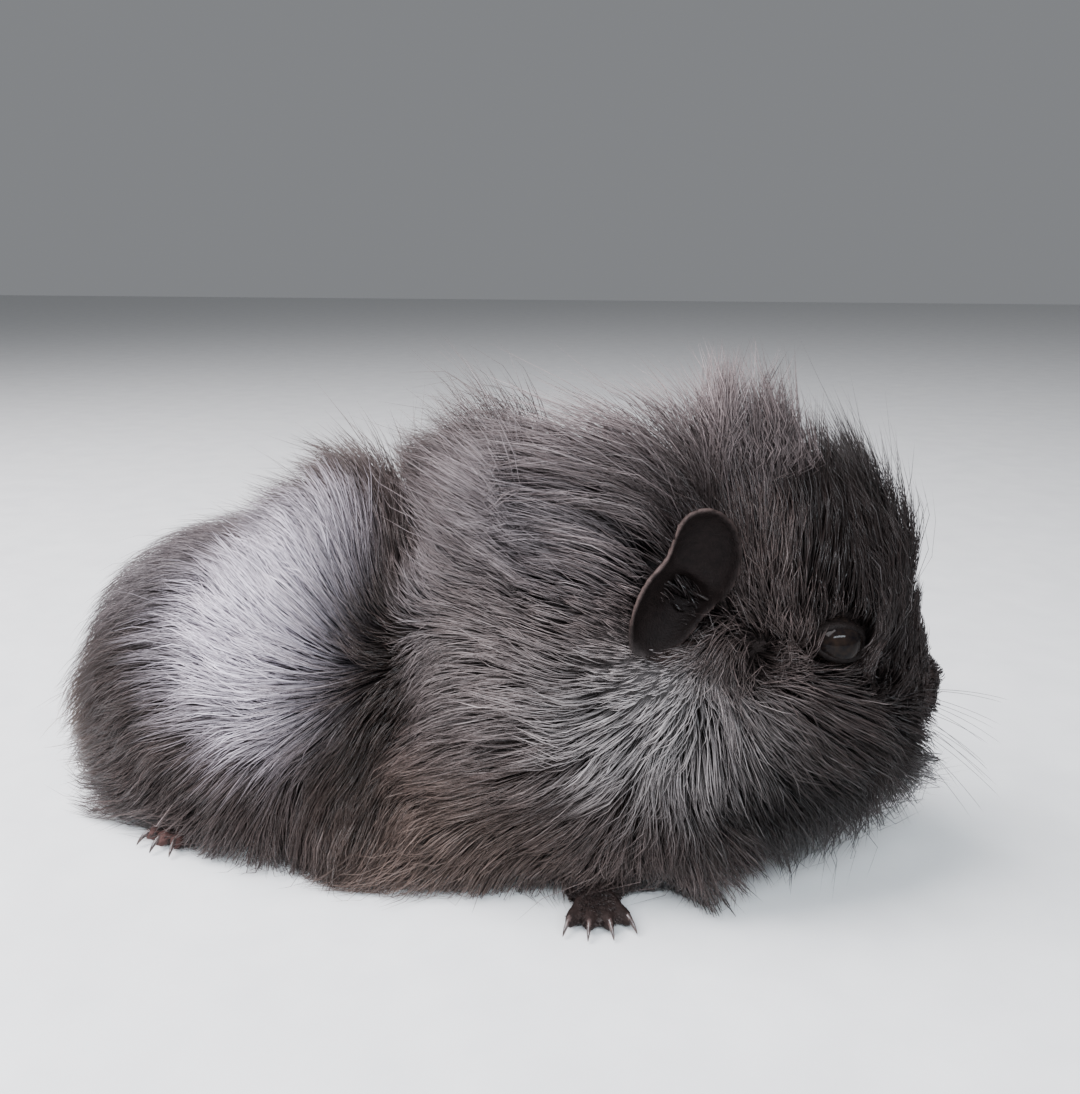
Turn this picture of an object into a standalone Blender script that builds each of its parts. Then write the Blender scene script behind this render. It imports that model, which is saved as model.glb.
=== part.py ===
"""A young long-haired guinea pig, life size, crouching on the floor with its head turned to its left.

Lengths in the tables are millimetres; the scene is in metres. +X runs from the tail end to the head,
+Y to the animal's left and +Z up, with the origin on the floor under the middle of the animal.
The solids are the animal with its coat on: each surface lies where the tips of the hairs end.
The whole coat is one rounded body, parted afterwards by thin cuts into the named pieces.
"""

import math

import bmesh
import bpy
from mathutils import Euler, Matrix, Vector
from mathutils.bvhtree import BVHTree

MM = 0.001
GAP = 0.3
SEAT_GAP = 0.4
SIDES = {"right": -1, "left": 1}

# The tables place the body round its spine; this moves the middle of its box to the origin.
BODY = Matrix.Translation((1.35, 4.45, 0))

# The head has its own frame, with its origin midway between the eyes.
HEAD_ORIGIN = (68.5, -8.0, 53.5)
HEAD_YAW = 19.0
HEAD_PITCH = 6.0
HEAD = (
    BODY
    @ Matrix.Translation(HEAD_ORIGIN)
    @ Matrix.Rotation(math.radians(HEAD_YAW), 4, "Z")
    @ Matrix.Rotation(math.radians(HEAD_PITCH), 4, "Y")
)

# Each lobe of the coat is an ellipsoid: its centre, its three radii and its turn in degrees.
BODY_LOBES = (
    ("rump", (-55, -2, 32), (41, 40, 35), (0, 0, 0)),
    ("tail end", (-79, -2, 22), (21, 31, 21), (0, 0, 0)),
    ("loin", (-30, -4, 33), (40, 42, 40), (0, 0, -6)),
    ("whorl ridge", (-28, -4, 44), (10, 38, 43), (0, -8, 0)),
    ("shoulders", (14, -11, 36), (42, 38, 40), (0, 0, 0)),
    ("shawl", (12, -11, 58), (31, 26, 37), (0, 0, 0)),
    ("shawl tuft", (-4, -8, 74), (9, 16, 20), (0, -14, 0)),
    ("flank hem", (-8, -5, 9), (60, 41, 15), (0, 0, 0)),
    ("rump hem", (-56, -2, 10), (40, 43, 15), (0, 0, 0)),
    ("chest hem", (24, -15, 8), (28, 27, 13), (0, 0, 0)),
)
HEAD_LOBES = (
    ("nape", (-30, 0, 2), (26, 19, 36), (0, 0, 0)),
    ("skull", (-8, 0, -4), (25, 16, 19), (0, 0, 0)),
    ("muzzle", (14, 0, -12), (17, 10, 12), (0, 24, 0)),
    ("nose", (25, 0, -15), (7, 6.5, 9), (0, 12, 0)),
    ("rear crest", (-20, 0, 15), (20, 22, 31), (0, 0, 0)),
    ("middle crest", (-7, 0, 12), (20, 19, 30), (0, 0, 0)),
    ("front crest", (3, 0, 6), (20, 15, 22), (0, 0, 0)),
    ("chin", (9, 0, -22), (20, 14, 10), (0, 8, 0)),
    ("chest", (-18, 0, -36), (28, 28, 19), (0, 0, 0)),
    ("right cheek", (-8, -14, -25), (27, 18, 22), (0, 4, 0)),
    ("left cheek", (-8, 14, -25), (27, 18, 22), (0, 4, 0)),
)
COAT_VOXEL = 2.0
COAT_SMOOTHING = 8
COAT_TRIANGLES = 2350

# Planes that part the coat from front to back: a point, then the way it faces, towards the head.
MUZZLE_CUT = ((13, 0, -8), (1.0, 0, -0.8))
HEAD_CUT = ((-42, 0, 0), (1.0, 0, 0.10))
NECK_CUT = ((4, -8, 40), (0.96, 0.28, 0.05))
RUMP_CUT = ((-40, -4, 40), (1.0, 0.0, -0.12))

# The upper legs are parted from the coat by ellipsoids: centre, radii and turn.
LEGS = {
    "hind_leg_right": ((-52, -34, 20), (24, 20, 24), (0, 12, 0)),
    "hind_leg_left": ((-50, 27, 20), (25, 20, 24), (0, 12, 0)),
    "foreleg_right": ((27, -38, 18), (13, 14, 20), (0, -10, 0)),
    "foreleg_left": ((32, 15, 18), (13, 13, 20), (0, -10, 0)),
}

# Eyes, in the head's frame, on the left side.
EYE_AT = (0, 14.2, 0)
EYE_RADIUS = 5.0

# The ear is a thin cupped petal. Its outline starts at the front root and runs over the top;
# u points to the nose and v to the crest, from the middle of the petal.
EAR_AT = (-31.5, 20.5, 10.5)
EAR_TURN = (-8, 0, -6)
EAR_OUTLINE = (
    (8.2, 4.6),
    (5.0, 12.4),
    (0.0, 14.6),
    (-4.2, 12.0),
    (-5.6, 4.2),
    (-8.8, -1.2),
    (-9.6, -8.2),
    (-7.4, -13.2),
    (-2.6, -10.8),
    (3.4, -5.6),
    (7.6, -0.8),
)
EAR_THICKNESS = 1.2
# The ear's room in the coat: its size against the petal's, at its root, at the petal and outside.
EAR_ROOM_REACH = (0.35, 1.06, 1.2)
EAR_CUP = 4.5
EAR_CLEARANCE = 14
EAR_RINGS = 3
EAR_STEPS = 2

# Each foot has its own frame: the middle of the palm on the floor, +X to the toes, then the heading.
# The right hind foot is splayed, so that its toes point away from the body.
FEET = {
    "forefoot_right": ((30.5, -34.5), -74),
    "forefoot_left": ((42, 25), 30),
    "hind_foot_right": ((-60, -26.5), -106),
    "hind_foot_left": ((-42, 30), 24),
}
FRONT_TOES = (-30, -10, 10, 30)
HIND_TOES = (-20, 0, 20)
FRONT_SIZE = 0.98
HIND_SIZE = 1.0
FRONT_PALM = (((-1, 0, 3.6), (7.5, 5.8, 4.2), (0, 0, 0)), ((-6, 0, 9), (5.2, 5.2, 9), (0, -16, 0)))
HIND_PALM = (((-5, 0, 3.4), (12.5, 5.0, 3.9), (0, 0, 0)), ((-12, 0, 8), (5.5, 5, 8), (0, -10, 0)))
TOE_REACH = 8.6
TOE = ((0, 0, 2.4), (4.6, 1.9, 2.2), (0, 8, 0))
FOOT_VOXEL = 0.75
FOOT_TRIANGLES = 200
CLAW_ROOT = (3.0, 2.7)
CLAW_LENGTH = 4.6
CLAW_RADIUS = 0.75
CLAW_BEND = 42
CLAW_RINGS = 4
CLAW_SIDES = 6

COLOURS = {
    "coat": (0.030, 0.022, 0.019, 1.0),
    "ear": (0.020, 0.011, 0.010, 1.0),
    "foot": (0.040, 0.026, 0.024, 1.0),
    "eye": (0.004, 0.004, 0.005, 1.0),
    "claw": (0.050, 0.030, 0.026, 1.0),
}
ROUGHNESS = {"coat": 0.6, "ear": 0.5, "foot": 0.55, "eye": 0.05, "claw": 0.3}


def clear_scene():
    for item in list(bpy.data.objects):
        bpy.data.objects.remove(item, do_unlink=True)


def make_materials():
    materials = {}
    for name, colour in COLOURS.items():
        material = bpy.data.materials.new(name)
        material.use_nodes = True
        shader = material.node_tree.nodes["Principled BSDF"]
        shader.inputs["Base Color"].default_value = colour
        shader.inputs["Roughness"].default_value = ROUGHNESS[name]
        materials[name] = material
    return materials


def add_object(name, mesh, material=None):
    item = bpy.data.objects.new(name, mesh)
    bpy.context.collection.objects.link(item)
    if material:
        mesh.materials.clear()
        mesh.materials.append(material)
        mesh.shade_smooth()
        mesh.set_sharp_from_angle(angle=math.radians(50))
    return item


def mesh_from(shape, name):
    mesh = bpy.data.meshes.new(name)
    shape.to_mesh(mesh)
    shape.free()
    return mesh


def placed(centre, turn=(0, 0, 0)):
    """The matrix that turns by degrees about X, Y and Z and moves to a centre."""
    angles = [math.radians(angle) for angle in turn]
    return Matrix.Translation(centre) @ Euler(angles).to_matrix().to_4x4()


def add_ellipsoid(shape, frame, centre, radii, turn, grow=0.0, detail=3):
    size = Matrix.Diagonal([radius + grow for radius in radii] + [1])
    matrix = Matrix.Scale(MM, 4) @ frame @ placed(centre, turn) @ size
    bmesh.ops.create_icosphere(shape, subdivisions=detail, radius=1, matrix=matrix)


def evaluated_mesh(item, name):
    """The mesh of an object with its modifiers applied; the object itself is removed."""
    graph = bpy.context.evaluated_depsgraph_get()
    mesh = bpy.data.meshes.new_from_object(item.evaluated_get(graph))
    mesh.name = name
    bpy.data.objects.remove(item, do_unlink=True)
    return mesh


def boolean(mesh, other, operation, solver="EXACT"):
    """One mesh cut by, or kept inside, another."""
    item = add_object("work", mesh)
    tool = add_object("tool", other)
    modifier = item.modifiers.new("cut", "BOOLEAN")
    modifier.operation = operation
    modifier.solver = solver
    modifier.object = tool
    result = evaluated_mesh(item, "cut")
    bpy.data.objects.remove(tool, do_unlink=True)
    return result


def rounded_union(shape, voxel, smoothing, triangles):
    """Overlapping solids as one rounded body, flat where it lies on the floor."""
    item = add_object("lobes", mesh_from(shape, "lobes"))
    remesh = item.modifiers.new("one body", "REMESH")
    remesh.mode = "VOXEL"
    remesh.voxel_size = voxel * MM
    smooth = item.modifiers.new("rounding", "SMOOTH")
    smooth.iterations = smoothing
    full = evaluated_mesh(item, "fine")
    item = add_object("fine", full)
    decimate = item.modifiers.new("fewer faces", "DECIMATE")
    decimate.ratio = min(1.0, triangles / (2 * len(full.polygons)))
    return cut_by_plane(evaluated_mesh(item, "body"), (0, 0, 0), (0, 0, 1))


def coat_mesh():
    """All the lobes of the coat as one body."""
    shape = bmesh.new()
    for _, centre, radii, turn in BODY_LOBES:
        add_ellipsoid(shape, BODY, centre, radii, turn)
    for _, centre, radii, turn in HEAD_LOBES:
        add_ellipsoid(shape, HEAD, centre, radii, turn)
    return rounded_union(shape, COAT_VOXEL, COAT_SMOOTHING, COAT_TRIANGLES)


def cut_by_plane(mesh, point, normal):
    """Keep the side of a mesh that the normal points to, and close the cut with a flat face."""
    shape = bmesh.new()
    shape.from_mesh(mesh)
    everything = shape.verts[:] + shape.edges[:] + shape.faces[:]
    cut = bmesh.ops.bisect_plane(
        shape,
        geom=everything,
        dist=1e-7,
        plane_co=Vector(point) * MM,
        plane_no=Vector(normal),
        clear_inner=True,
    )
    rim = [part for part in cut["geom_cut"] if isinstance(part, bmesh.types.BMEdge)]
    bmesh.ops.triangle_fill(shape, edges=rim, use_beauty=True, use_dissolve=False)
    bmesh.ops.recalc_face_normals(shape, faces=shape.faces[:])
    return mesh_from(shape, mesh.name)


def slice_between(mesh, rear, front):
    """The length of the coat between two planes, each half a gap away from its neighbour."""
    part = mesh.copy()
    for plane, side in ((rear, 1), (front, -1)):
        if plane:
            point, normal = plane
            facing = normal.normalized() * side
            part = cut_by_plane(part, point + facing * GAP / 2, facing)
    return part


def plane_in(frame, plane):
    point, normal = plane
    return frame @ Vector(point), frame.to_3x3() @ Vector(normal)


def mirrored(centre, side):
    return (centre[0], centre[1] * side, centre[2])



def ellipsoid_mesh(ellipsoid, grow=0.0):
    shape = bmesh.new()
    add_ellipsoid(shape, BODY, *ellipsoid, grow=grow, detail=2)
    return mesh_from(shape, "ellipsoid")


def eye_mesh(side, grow=0.0):
    shape = bmesh.new()
    matrix = Matrix.Scale(MM, 4) @ HEAD @ Matrix.Translation(mirrored(EYE_AT, side))
    bmesh.ops.create_uvsphere(
        shape, u_segments=14, v_segments=8, radius=EYE_RADIUS + grow, matrix=matrix
    )
    return mesh_from(shape, "eye")


def closed_curve(points, steps):
    """A smooth closed curve through points, with a few steps from each to the next."""
    curve = []
    for index in range(len(points)):
        before, start, end, after = (Vector(points[(index + k - 1) % len(points)]) for k in range(4))
        for step in range(steps):
            t = step / steps
            bend = start * 2 + (end - before) * t
            bend += (before * 2 - start * 5 + end * 4 - after) * t * t
            bend += (start * 3 - before - end * 3 + after) * t * t * t
            curve.append(bend / 2)
    return curve


def ear_frame(side):
    across, tilt, turn = EAR_TURN
    return HEAD @ placed(mirrored(EAR_AT, side), (across * side, tilt, turn * side))


def ear_hollow(side):
    """The room that the ear takes in the coat: the petal's hull, open to the outside."""
    matrix = Matrix.Scale(MM, 4) @ ear_frame(side)
    depths = (-EAR_CUP - EAR_THICKNESS, -EAR_THICKNESS / 2 - GAP, EAR_CLEARANCE)
    shape = bmesh.new()
    for depth, reach in zip(depths, EAR_ROOM_REACH):
        for u, v in EAR_OUTLINE:
            shape.verts.new(matrix @ Vector((u * reach, side * depth, v * reach)))
    hull = bmesh.ops.convex_hull(shape, input=shape.verts[:])
    loose = [part for part in hull["geom_interior"] if isinstance(part, bmesh.types.BMVert)]
    bmesh.ops.delete(shape, geom=loose, context="VERTS")
    bmesh.ops.recalc_face_normals(shape, faces=shape.faces[:])
    return mesh_from(shape, "ear hollow")


def ear_mesh(side):
    """A cupped petal, hollow on its outer side, with a front and a back skin joined at the rim."""
    outline = closed_curve(EAR_OUTLINE, EAR_STEPS)
    matrix = Matrix.Scale(MM, 4) @ ear_frame(side)
    shape = bmesh.new()
    skins = []
    for face in (1, -1):
        offset = face * EAR_THICKNESS / 2
        middle = shape.verts.new(matrix @ Vector((0, side * (offset - EAR_CUP), 0)))
        rings = []
        for ring in range(1, EAR_RINGS + 1):
            share = ring / EAR_RINGS
            depth = offset - EAR_CUP * (1 - share * share)
            points = [(u * share, side * depth, v * share) for u, v in outline]
            rings.append([shape.verts.new(matrix @ Vector(point)) for point in points])
        skins.append((middle, rings))
    count = len(outline)
    for middle, rings in skins:
        for step in range(count):
            after = (step + 1) % count
            shape.faces.new((middle, rings[0][step], rings[0][after]))
            for inner, outer in zip(rings, rings[1:]):
                shape.faces.new((inner[step], outer[step], outer[after], inner[after]))
    front, back = skins[0][1][-1], skins[1][1][-1]
    for step in range(count):
        after = (step + 1) % count
        shape.faces.new((front[step], back[step], back[after], front[after]))
    bmesh.ops.recalc_face_normals(shape, faces=shape.faces[:])
    bmesh.ops.triangulate(shape, faces=shape.faces[:])
    return mesh_from(shape, "ear")


def foot_frame(name):
    (x, y), heading = FEET[name]
    return BODY @ Matrix.Translation((x, y, 0)) @ Matrix.Rotation(math.radians(heading), 4, "Z")


def foot_plan(name):
    """The size of a foot, the lobes of its palm and the headings of its toes."""
    if name.startswith("fore"):
        return FRONT_SIZE, FRONT_PALM, FRONT_TOES
    return HIND_SIZE, HIND_PALM, HIND_TOES


def toe_frame(name, heading):
    size, _, _ = foot_plan(name)
    turn = Matrix.Rotation(math.radians(heading), 4, "Z")
    return foot_frame(name) @ Matrix.Scale(size, 4) @ turn @ Matrix.Translation((TOE_REACH, 0, 0))


def foot_mesh(name):
    size, palm, toes = foot_plan(name)
    frame = foot_frame(name) @ Matrix.Scale(size, 4)
    shape = bmesh.new()
    for lobe in palm:
        add_ellipsoid(shape, frame, *lobe)
    for heading in toes:
        add_ellipsoid(shape, toe_frame(name, heading), *TOE)
    return rounded_union(shape, FOOT_VOXEL, 2, FOOT_TRIANGLES)


def claw_mesh(name, heading, grow=0.0):
    """A claw as a cone that bends down to the floor."""
    x, z = CLAW_ROOT
    matrix = Matrix.Scale(MM, 4) @ toe_frame(name, heading)
    shape = bmesh.new()
    rings = []
    point = Vector((x, 0, z))
    for ring in range(CLAW_RINGS):
        share = ring / CLAW_RINGS
        slope = math.radians(10 + CLAW_BEND * share)
        along = Vector((math.cos(slope), 0, -math.sin(slope)))
        above = Vector((math.sin(slope), 0, math.cos(slope)))
        radius = CLAW_RADIUS * (1 - share * 0.8) + grow
        start = point - along * grow if ring == 0 else point
        corners = []
        for side in range(CLAW_SIDES):
            angle = 2 * math.pi * side / CLAW_SIDES
            spot = start + above * radius * math.cos(angle)
            spot.y += radius * 0.8 * math.sin(angle)
            corners.append(shape.verts.new(matrix @ spot))
        rings.append(corners)
        point = point + along * CLAW_LENGTH / CLAW_RINGS
    tip = shape.verts.new(matrix @ (point + along * grow))
    for side in range(CLAW_SIDES):
        after = (side + 1) % CLAW_SIDES
        for rear, front in zip(rings, rings[1:]):
            shape.faces.new((rear[side], front[side], front[after], rear[after]))
        shape.faces.new((rings[-1][side], tip, rings[-1][after]))
    shape.faces.new(rings[0])
    bmesh.ops.recalc_face_normals(shape, faces=shape.faces[:])
    bmesh.ops.triangulate(shape, faces=shape.faces[:])
    return mesh_from(shape, "claw")


# ---------------------------------------------------------------- the animal


def meets(mesh, other):
    """Whether the surfaces of two meshes cross."""
    trees = []
    for item in (mesh, other):
        shape = bmesh.new()
        shape.from_mesh(item)
        trees.append(BVHTree.FromBMesh(shape))
        shape.free()
    return bool(trees[0].overlap(trees[1]))


def grown_copy(mesh, distance):
    """A copy of a mesh with every vertex moved out along its normal."""
    copy = mesh.copy()
    for vertex, normal in zip(copy.vertices, mesh.vertex_normals):
        vertex.co += normal.vector * distance * MM
    return copy


def make_room(parts, names, other):
    """Cut the seat of one piece out of its neighbours."""
    for name in names:
        if meets(parts[name], other):
            parts[name] = boolean(parts[name], other.copy(), "DIFFERENCE", "MANIFOLD")


def coat_lengths(coat):
    """The coat from tail to nose, parted by thin cuts."""
    cuts = (
        plane_in(BODY, RUMP_CUT),
        plane_in(BODY, NECK_CUT),
        plane_in(HEAD, HEAD_CUT),
        plane_in(HEAD, MUZZLE_CUT),
    )
    names = ("rump", "trunk", "neck", "head", "muzzle")
    return {
        name: slice_between(coat, rear, front)
        for name, rear, front in zip(names, (None,) + cuts, cuts + (None,))
    }


def add_foot(name, parts, materials):
    """A foot seated in the coat, with its claws seated in its toes."""
    solid = foot_mesh(name)
    make_room(parts, list(parts), grown_copy(solid, SEAT_GAP))
    _, _, toes = foot_plan(name)
    for number, heading in enumerate(toes, 1):
        solid = boolean(solid, claw_mesh(name, heading, GAP), "DIFFERENCE")
        make_room(parts, list(parts), claw_mesh(name, heading, GAP))
        claw = name.replace("foot", "claw") + f"_{number}"
        add_object(claw, claw_mesh(name, heading), materials["claw"])
    add_object(name, solid, materials["foot"])


def build():
    clear_scene()
    materials = make_materials()
    coat = coat_mesh()
    parts = coat_lengths(coat)
    lengths = list(parts)
    for name, ellipsoid in LEGS.items():
        parts[name] = boolean(coat.copy(), ellipsoid_mesh(ellipsoid), "INTERSECT")
        make_room(parts, lengths, ellipsoid_mesh(ellipsoid, GAP))
    for side_name, side in SIDES.items():
        make_room(parts, lengths, ear_hollow(side))
        make_room(parts, lengths, eye_mesh(side, GAP))
        add_object(f"eye_{side_name}", eye_mesh(side), materials["eye"])
        add_object(f"ear_{side_name}", ear_mesh(side), materials["ear"])
    for name in FEET:
        add_foot(name, parts, materials)
    for name, part in parts.items():
        add_object(name, part, materials["coat"])


build()
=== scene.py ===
"""The looks of a young long-haired guinea pig: skin, eyes, claws, coat and whiskers.

Lengths in the tables are millimetres; the scene is in metres. Head places are in the head's own
frame, with its origin midway between the eyes, +X to the nose, +Y to the left and +Z up.
"""

import math

import bmesh
import bpy
import numpy as np
from mathutils import Euler, Matrix, Vector
from mathutils.bvhtree import BVHTree
from mathutils.kdtree import KDTree


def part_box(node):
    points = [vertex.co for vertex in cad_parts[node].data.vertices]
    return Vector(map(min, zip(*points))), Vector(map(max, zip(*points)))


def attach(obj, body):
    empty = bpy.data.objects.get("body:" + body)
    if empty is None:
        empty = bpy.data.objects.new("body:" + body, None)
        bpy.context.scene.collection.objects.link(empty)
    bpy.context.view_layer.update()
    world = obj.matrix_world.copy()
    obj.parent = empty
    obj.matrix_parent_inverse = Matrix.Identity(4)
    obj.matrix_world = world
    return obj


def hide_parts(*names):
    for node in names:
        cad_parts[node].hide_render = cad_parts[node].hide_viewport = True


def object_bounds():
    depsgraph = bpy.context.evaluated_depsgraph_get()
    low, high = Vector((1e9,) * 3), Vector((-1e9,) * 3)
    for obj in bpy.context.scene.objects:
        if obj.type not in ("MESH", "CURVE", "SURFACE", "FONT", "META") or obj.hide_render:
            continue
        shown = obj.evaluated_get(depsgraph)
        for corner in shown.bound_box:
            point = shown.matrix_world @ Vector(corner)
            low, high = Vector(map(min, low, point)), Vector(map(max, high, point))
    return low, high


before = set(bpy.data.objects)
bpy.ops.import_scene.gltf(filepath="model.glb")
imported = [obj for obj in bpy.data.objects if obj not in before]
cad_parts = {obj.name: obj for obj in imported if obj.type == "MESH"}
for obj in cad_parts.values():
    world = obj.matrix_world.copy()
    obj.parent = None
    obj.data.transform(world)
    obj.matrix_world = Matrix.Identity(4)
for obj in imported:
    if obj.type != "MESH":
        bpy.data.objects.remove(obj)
cad_box = [list(corner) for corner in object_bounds()]
random = np.random.default_rng(7)

MM = 0.001
SIDES = {"right": -1, "left": 1}

# ---------------------------------------------------------------- the frames, from the model's eyes


def middle(node):
    low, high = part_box(node)
    return (Vector(low) + Vector(high)) / 2


HEAD_PITCH = 6.0
EYE_RADIUS = 5.0
eyes_across = middle("eye_left") - middle("eye_right")
HEAD_YAW = math.atan2(-eyes_across.x, eyes_across.y)
HEAD_MIDDLE = (middle("eye_left") + middle("eye_right")) / 2 / MM
HEAD = (
    Matrix.Translation(HEAD_MIDDLE)
    @ Matrix.Rotation(HEAD_YAW, 4, "Z")
    @ Matrix.Rotation(math.radians(HEAD_PITCH), 4, "Y")
)
# The body tables are measured from a point on the floor; the eyes stand here from it.
EYES_IN_BODY = (68.5, -8.0, 53.5)
BODY = Matrix.Translation(HEAD_MIDDLE - Vector(EYES_IN_BODY))
EYE_SIDE = eyes_across.length / 2 / MM
# The line that parts right from left: where it lies across the body at the tail, then how far it
# bends to the right towards the head and between which places along the body.
TAIL_MIDDLE = -4
NECK_BEND = 6
NECK_BEND_ALONG = (-20, 40)
BODY_MIDDLE = BODY @ Matrix.Translation((0, TAIL_MIDDLE, 0))

# ---------------------------------------------------------------- the bare body

# Each lobe is an ellipsoid: its centre, its three radii and, where it is turned, its turn in degrees.
BODY_LOBES = (
    ((-54, -2, 30), (30, 28, 27)),
    ((-76, -2, 23), (13, 18, 15)),
    ((-30, -4, 33), (34, 30, 29)),
    ((10, -10, 34), (38, 28, 30), (0, 0, -4)),
    ((26, -12, 26), (24, 23, 21)),
    ((-47, -24, 20), (20, 12, 17)),
    ((-46, 19, 20), (20, 12, 17)),
    ((27, -29, 17), (9, 8, 14), (0, -10, 0)),
    ((36, 10, 17), (9, 8, 14), (0, -10, 0)),
    ((-8, -5, 13), (56, 28, 12)),
    ((-52, -2, 13), (32, 31, 12)),
    ((22, -13, 14), (26, 21, 12)),
)
HEAD_LOBES = (
    ((-34, 0, -8), (22, 18, 21)),
    ((-10, 0, -2), (25, 14.5, 15.5)),
    ((12, 0, -10.5), (18, 9.2, 10.6), (0, 24, 0)),
    ((15, 0, -6.5), (13, 6.8, 8.2), (0, 38, 0)),
    ((24, 0, -14.5), (6.4, 5.6, 7.6), (0, 14, 0)),
    ((8.5, 0, -20.5), (16.5, 8.8, 8), (0, 8, 0)),
    ((-18, 0, -22), (20, 15, 14)),
)
PAIRED_HEAD_LOBES = (
    ((-8, 9, -15), (17, 8.5, 12)),
    ((-0.5, 10.6, 0), (8.6, 5.6, 7.4)),
    ((17, 4.6, -16), (8, 5, 6), (0, 14, 0)),
)
# The fineness of the skin, and of the coarse copy that the coat is grown from.
SKIN_VOXEL = 0.7
FIELD_VOXEL = 2.4
SKIN_SMOOTHING = 3
FIELD_SMOOTHING = 8

# Feet: the middle of the palm on the floor, then the heading of the toes.
FEET = {
    "forefoot_right": ((30.5, -34.5), -74),
    "forefoot_left": ((42, 25), 30),
    "hind_foot_right": ((-60, -26.5), -106),
    "hind_foot_left": ((-42, 30), 24),
}
FRONT_TOES = (-30, -10, 10, 30)
HIND_TOES = (-20, 0, 20)
FRONT_PALM = (((-1, 0, 3.4), (7.2, 5.4, 3.7)), ((-6, 0, 9), (4.8, 4.8, 9), (0, -16, 0)))
HIND_PALM = (((-5, 0, 3.2), (12.2, 4.6, 3.5)), ((-12, 0, 8), (5.1, 4.6, 8), (0, -10, 0)))
TOE_REACH = 8.6
TOE_JOINTS = (
    ((-2.2, 0, 3.2), (3.4, 1.3, 1.8), (0, 12, 0)),
    ((1.0, 0, 2.3), (3.0, 1.4, 1.9), (0, 10, 0)),
)
FOREFOOT_SIZE = 0.98

# The ear's petal: u points to the nose and v to the crest, from its middle.
EAR_AT = (-31.5, 20.5, 10.5)
EAR_TURN = (-8, 0, -6)
EAR_OUTLINE = (
    (9.2, 4.0),
    (6.8, 11.2),
    (1.6, 14.5),
    (-3.0, 12.2),
    (-4.6, 4.8),
    (-7.8, -0.9),
    (-9.0, -8.0),
    (-7.6, -13.6),
    (-3.0, -14.2),
    (2.6, -10.4),
    (7.0, -4.4),
)
# The curve's steps from one point of the outline to the next, and the rings out to it.
EAR_STEPS = 5
EAR_RINGS = 9
EAR_CUP = 5.0
# The canal: its middle in the ear, its depth and its spread. The fold over it: how far from the
# ear's middle it runs, its height and its middle towards the nose.
CANAL_AT = (2.6, -4.6)
CANAL_DEPTH = 4.5
CANAL_SPREAD = 20
FOLD_FROM_MIDDLE = 1.6
FOLD_HEIGHT = 2.0
FOLD_AT = 3.5
# The rim rolls outwards beyond this share of the way out to it, by this much.
ROLL_FROM = 0.86
ROLL_HEIGHT = 0.9
# How far the ear's front and back stand from the middle of the cup's wall.
EAR_FACES = (0.5, -1.8)
EAR_RIM_RADIUS = 0.7
EAR_RIM_AT = 0.97
# The lobes that join the ear to the skull, in the ear's frame.
EAR_ROOTS = (((4, -12.5, -4), (4, 4.2, 5)), ((1, -14, -3), (4, 4.2, 5)))


def placed(centre, turn=(0, 0, 0)):
    angles = [math.radians(angle) for angle in turn]
    return Matrix.Translation(centre) @ Euler(angles).to_matrix().to_4x4()


def mirrored(centre, side):
    return (centre[0], centre[1] * side, centre[2])


def mesh_from(shape, name):
    mesh = bpy.data.meshes.new(name)
    shape.to_mesh(mesh)
    shape.free()
    return mesh


def add_object(name, mesh, material=None):
    piece = bpy.data.objects.new(name, mesh)
    bpy.context.collection.objects.link(piece)
    if material:
        mesh.materials.append(material)
    return piece


def add_ellipsoid(shape, parent, centre, radii, turn=(0, 0, 0), detail=3):
    size = Matrix.Diagonal([*radii, 1])
    matrix = Matrix.Scale(MM, 4) @ parent @ placed(centre, turn) @ size
    bmesh.ops.create_icosphere(shape, subdivisions=detail, radius=1, matrix=matrix)


def evaluated_mesh(piece, name):
    graph = bpy.context.evaluated_depsgraph_get()
    mesh = bpy.data.meshes.new_from_object(piece.evaluated_get(graph))
    mesh.name = name
    bpy.data.objects.remove(piece, do_unlink=True)
    return mesh


def remeshed(shape, name, voxel, smoothing):
    """Overlapping closed shapes as one smooth body."""
    piece = add_object(name, mesh_from(shape, name))
    remesh = piece.modifiers.new("one body", "REMESH")
    remesh.mode = "VOXEL"
    remesh.voxel_size = voxel * MM
    smooth = piece.modifiers.new("rounding", "SMOOTH")
    smooth.iterations = smoothing
    return evaluated_mesh(piece, name)


def add_body(shape):
    for lobe in BODY_LOBES:
        add_ellipsoid(shape, BODY, *lobe)
    for lobe in HEAD_LOBES:
        add_ellipsoid(shape, HEAD, *lobe)
    for centre, *form in PAIRED_HEAD_LOBES:
        for side in SIDES.values():
            add_ellipsoid(shape, HEAD, mirrored(centre, side), *form)


def foot_frame(name):
    (x, y), heading = FEET[name]
    return BODY @ Matrix.Translation((x, y, 0)) @ Matrix.Rotation(math.radians(heading), 4, "Z")


def foot_plan(name):
    if name.startswith("fore"):
        return FOREFOOT_SIZE, FRONT_PALM, FRONT_TOES
    return 1.0, HIND_PALM, HIND_TOES


def toe_frame(name, heading):
    size, _, _ = foot_plan(name)
    turn = Matrix.Rotation(math.radians(heading), 4, "Z")
    return foot_frame(name) @ Matrix.Scale(size, 4) @ turn @ Matrix.Translation((TOE_REACH, 0, 0))


def add_foot(shape, name):
    size, palm, toes = foot_plan(name)
    parent = foot_frame(name) @ Matrix.Scale(size, 4)
    for lobe in palm:
        add_ellipsoid(shape, parent, *lobe)
    for heading in toes:
        for lobe in TOE_JOINTS:
            add_ellipsoid(shape, toe_frame(name, heading), *lobe, detail=2)


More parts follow.
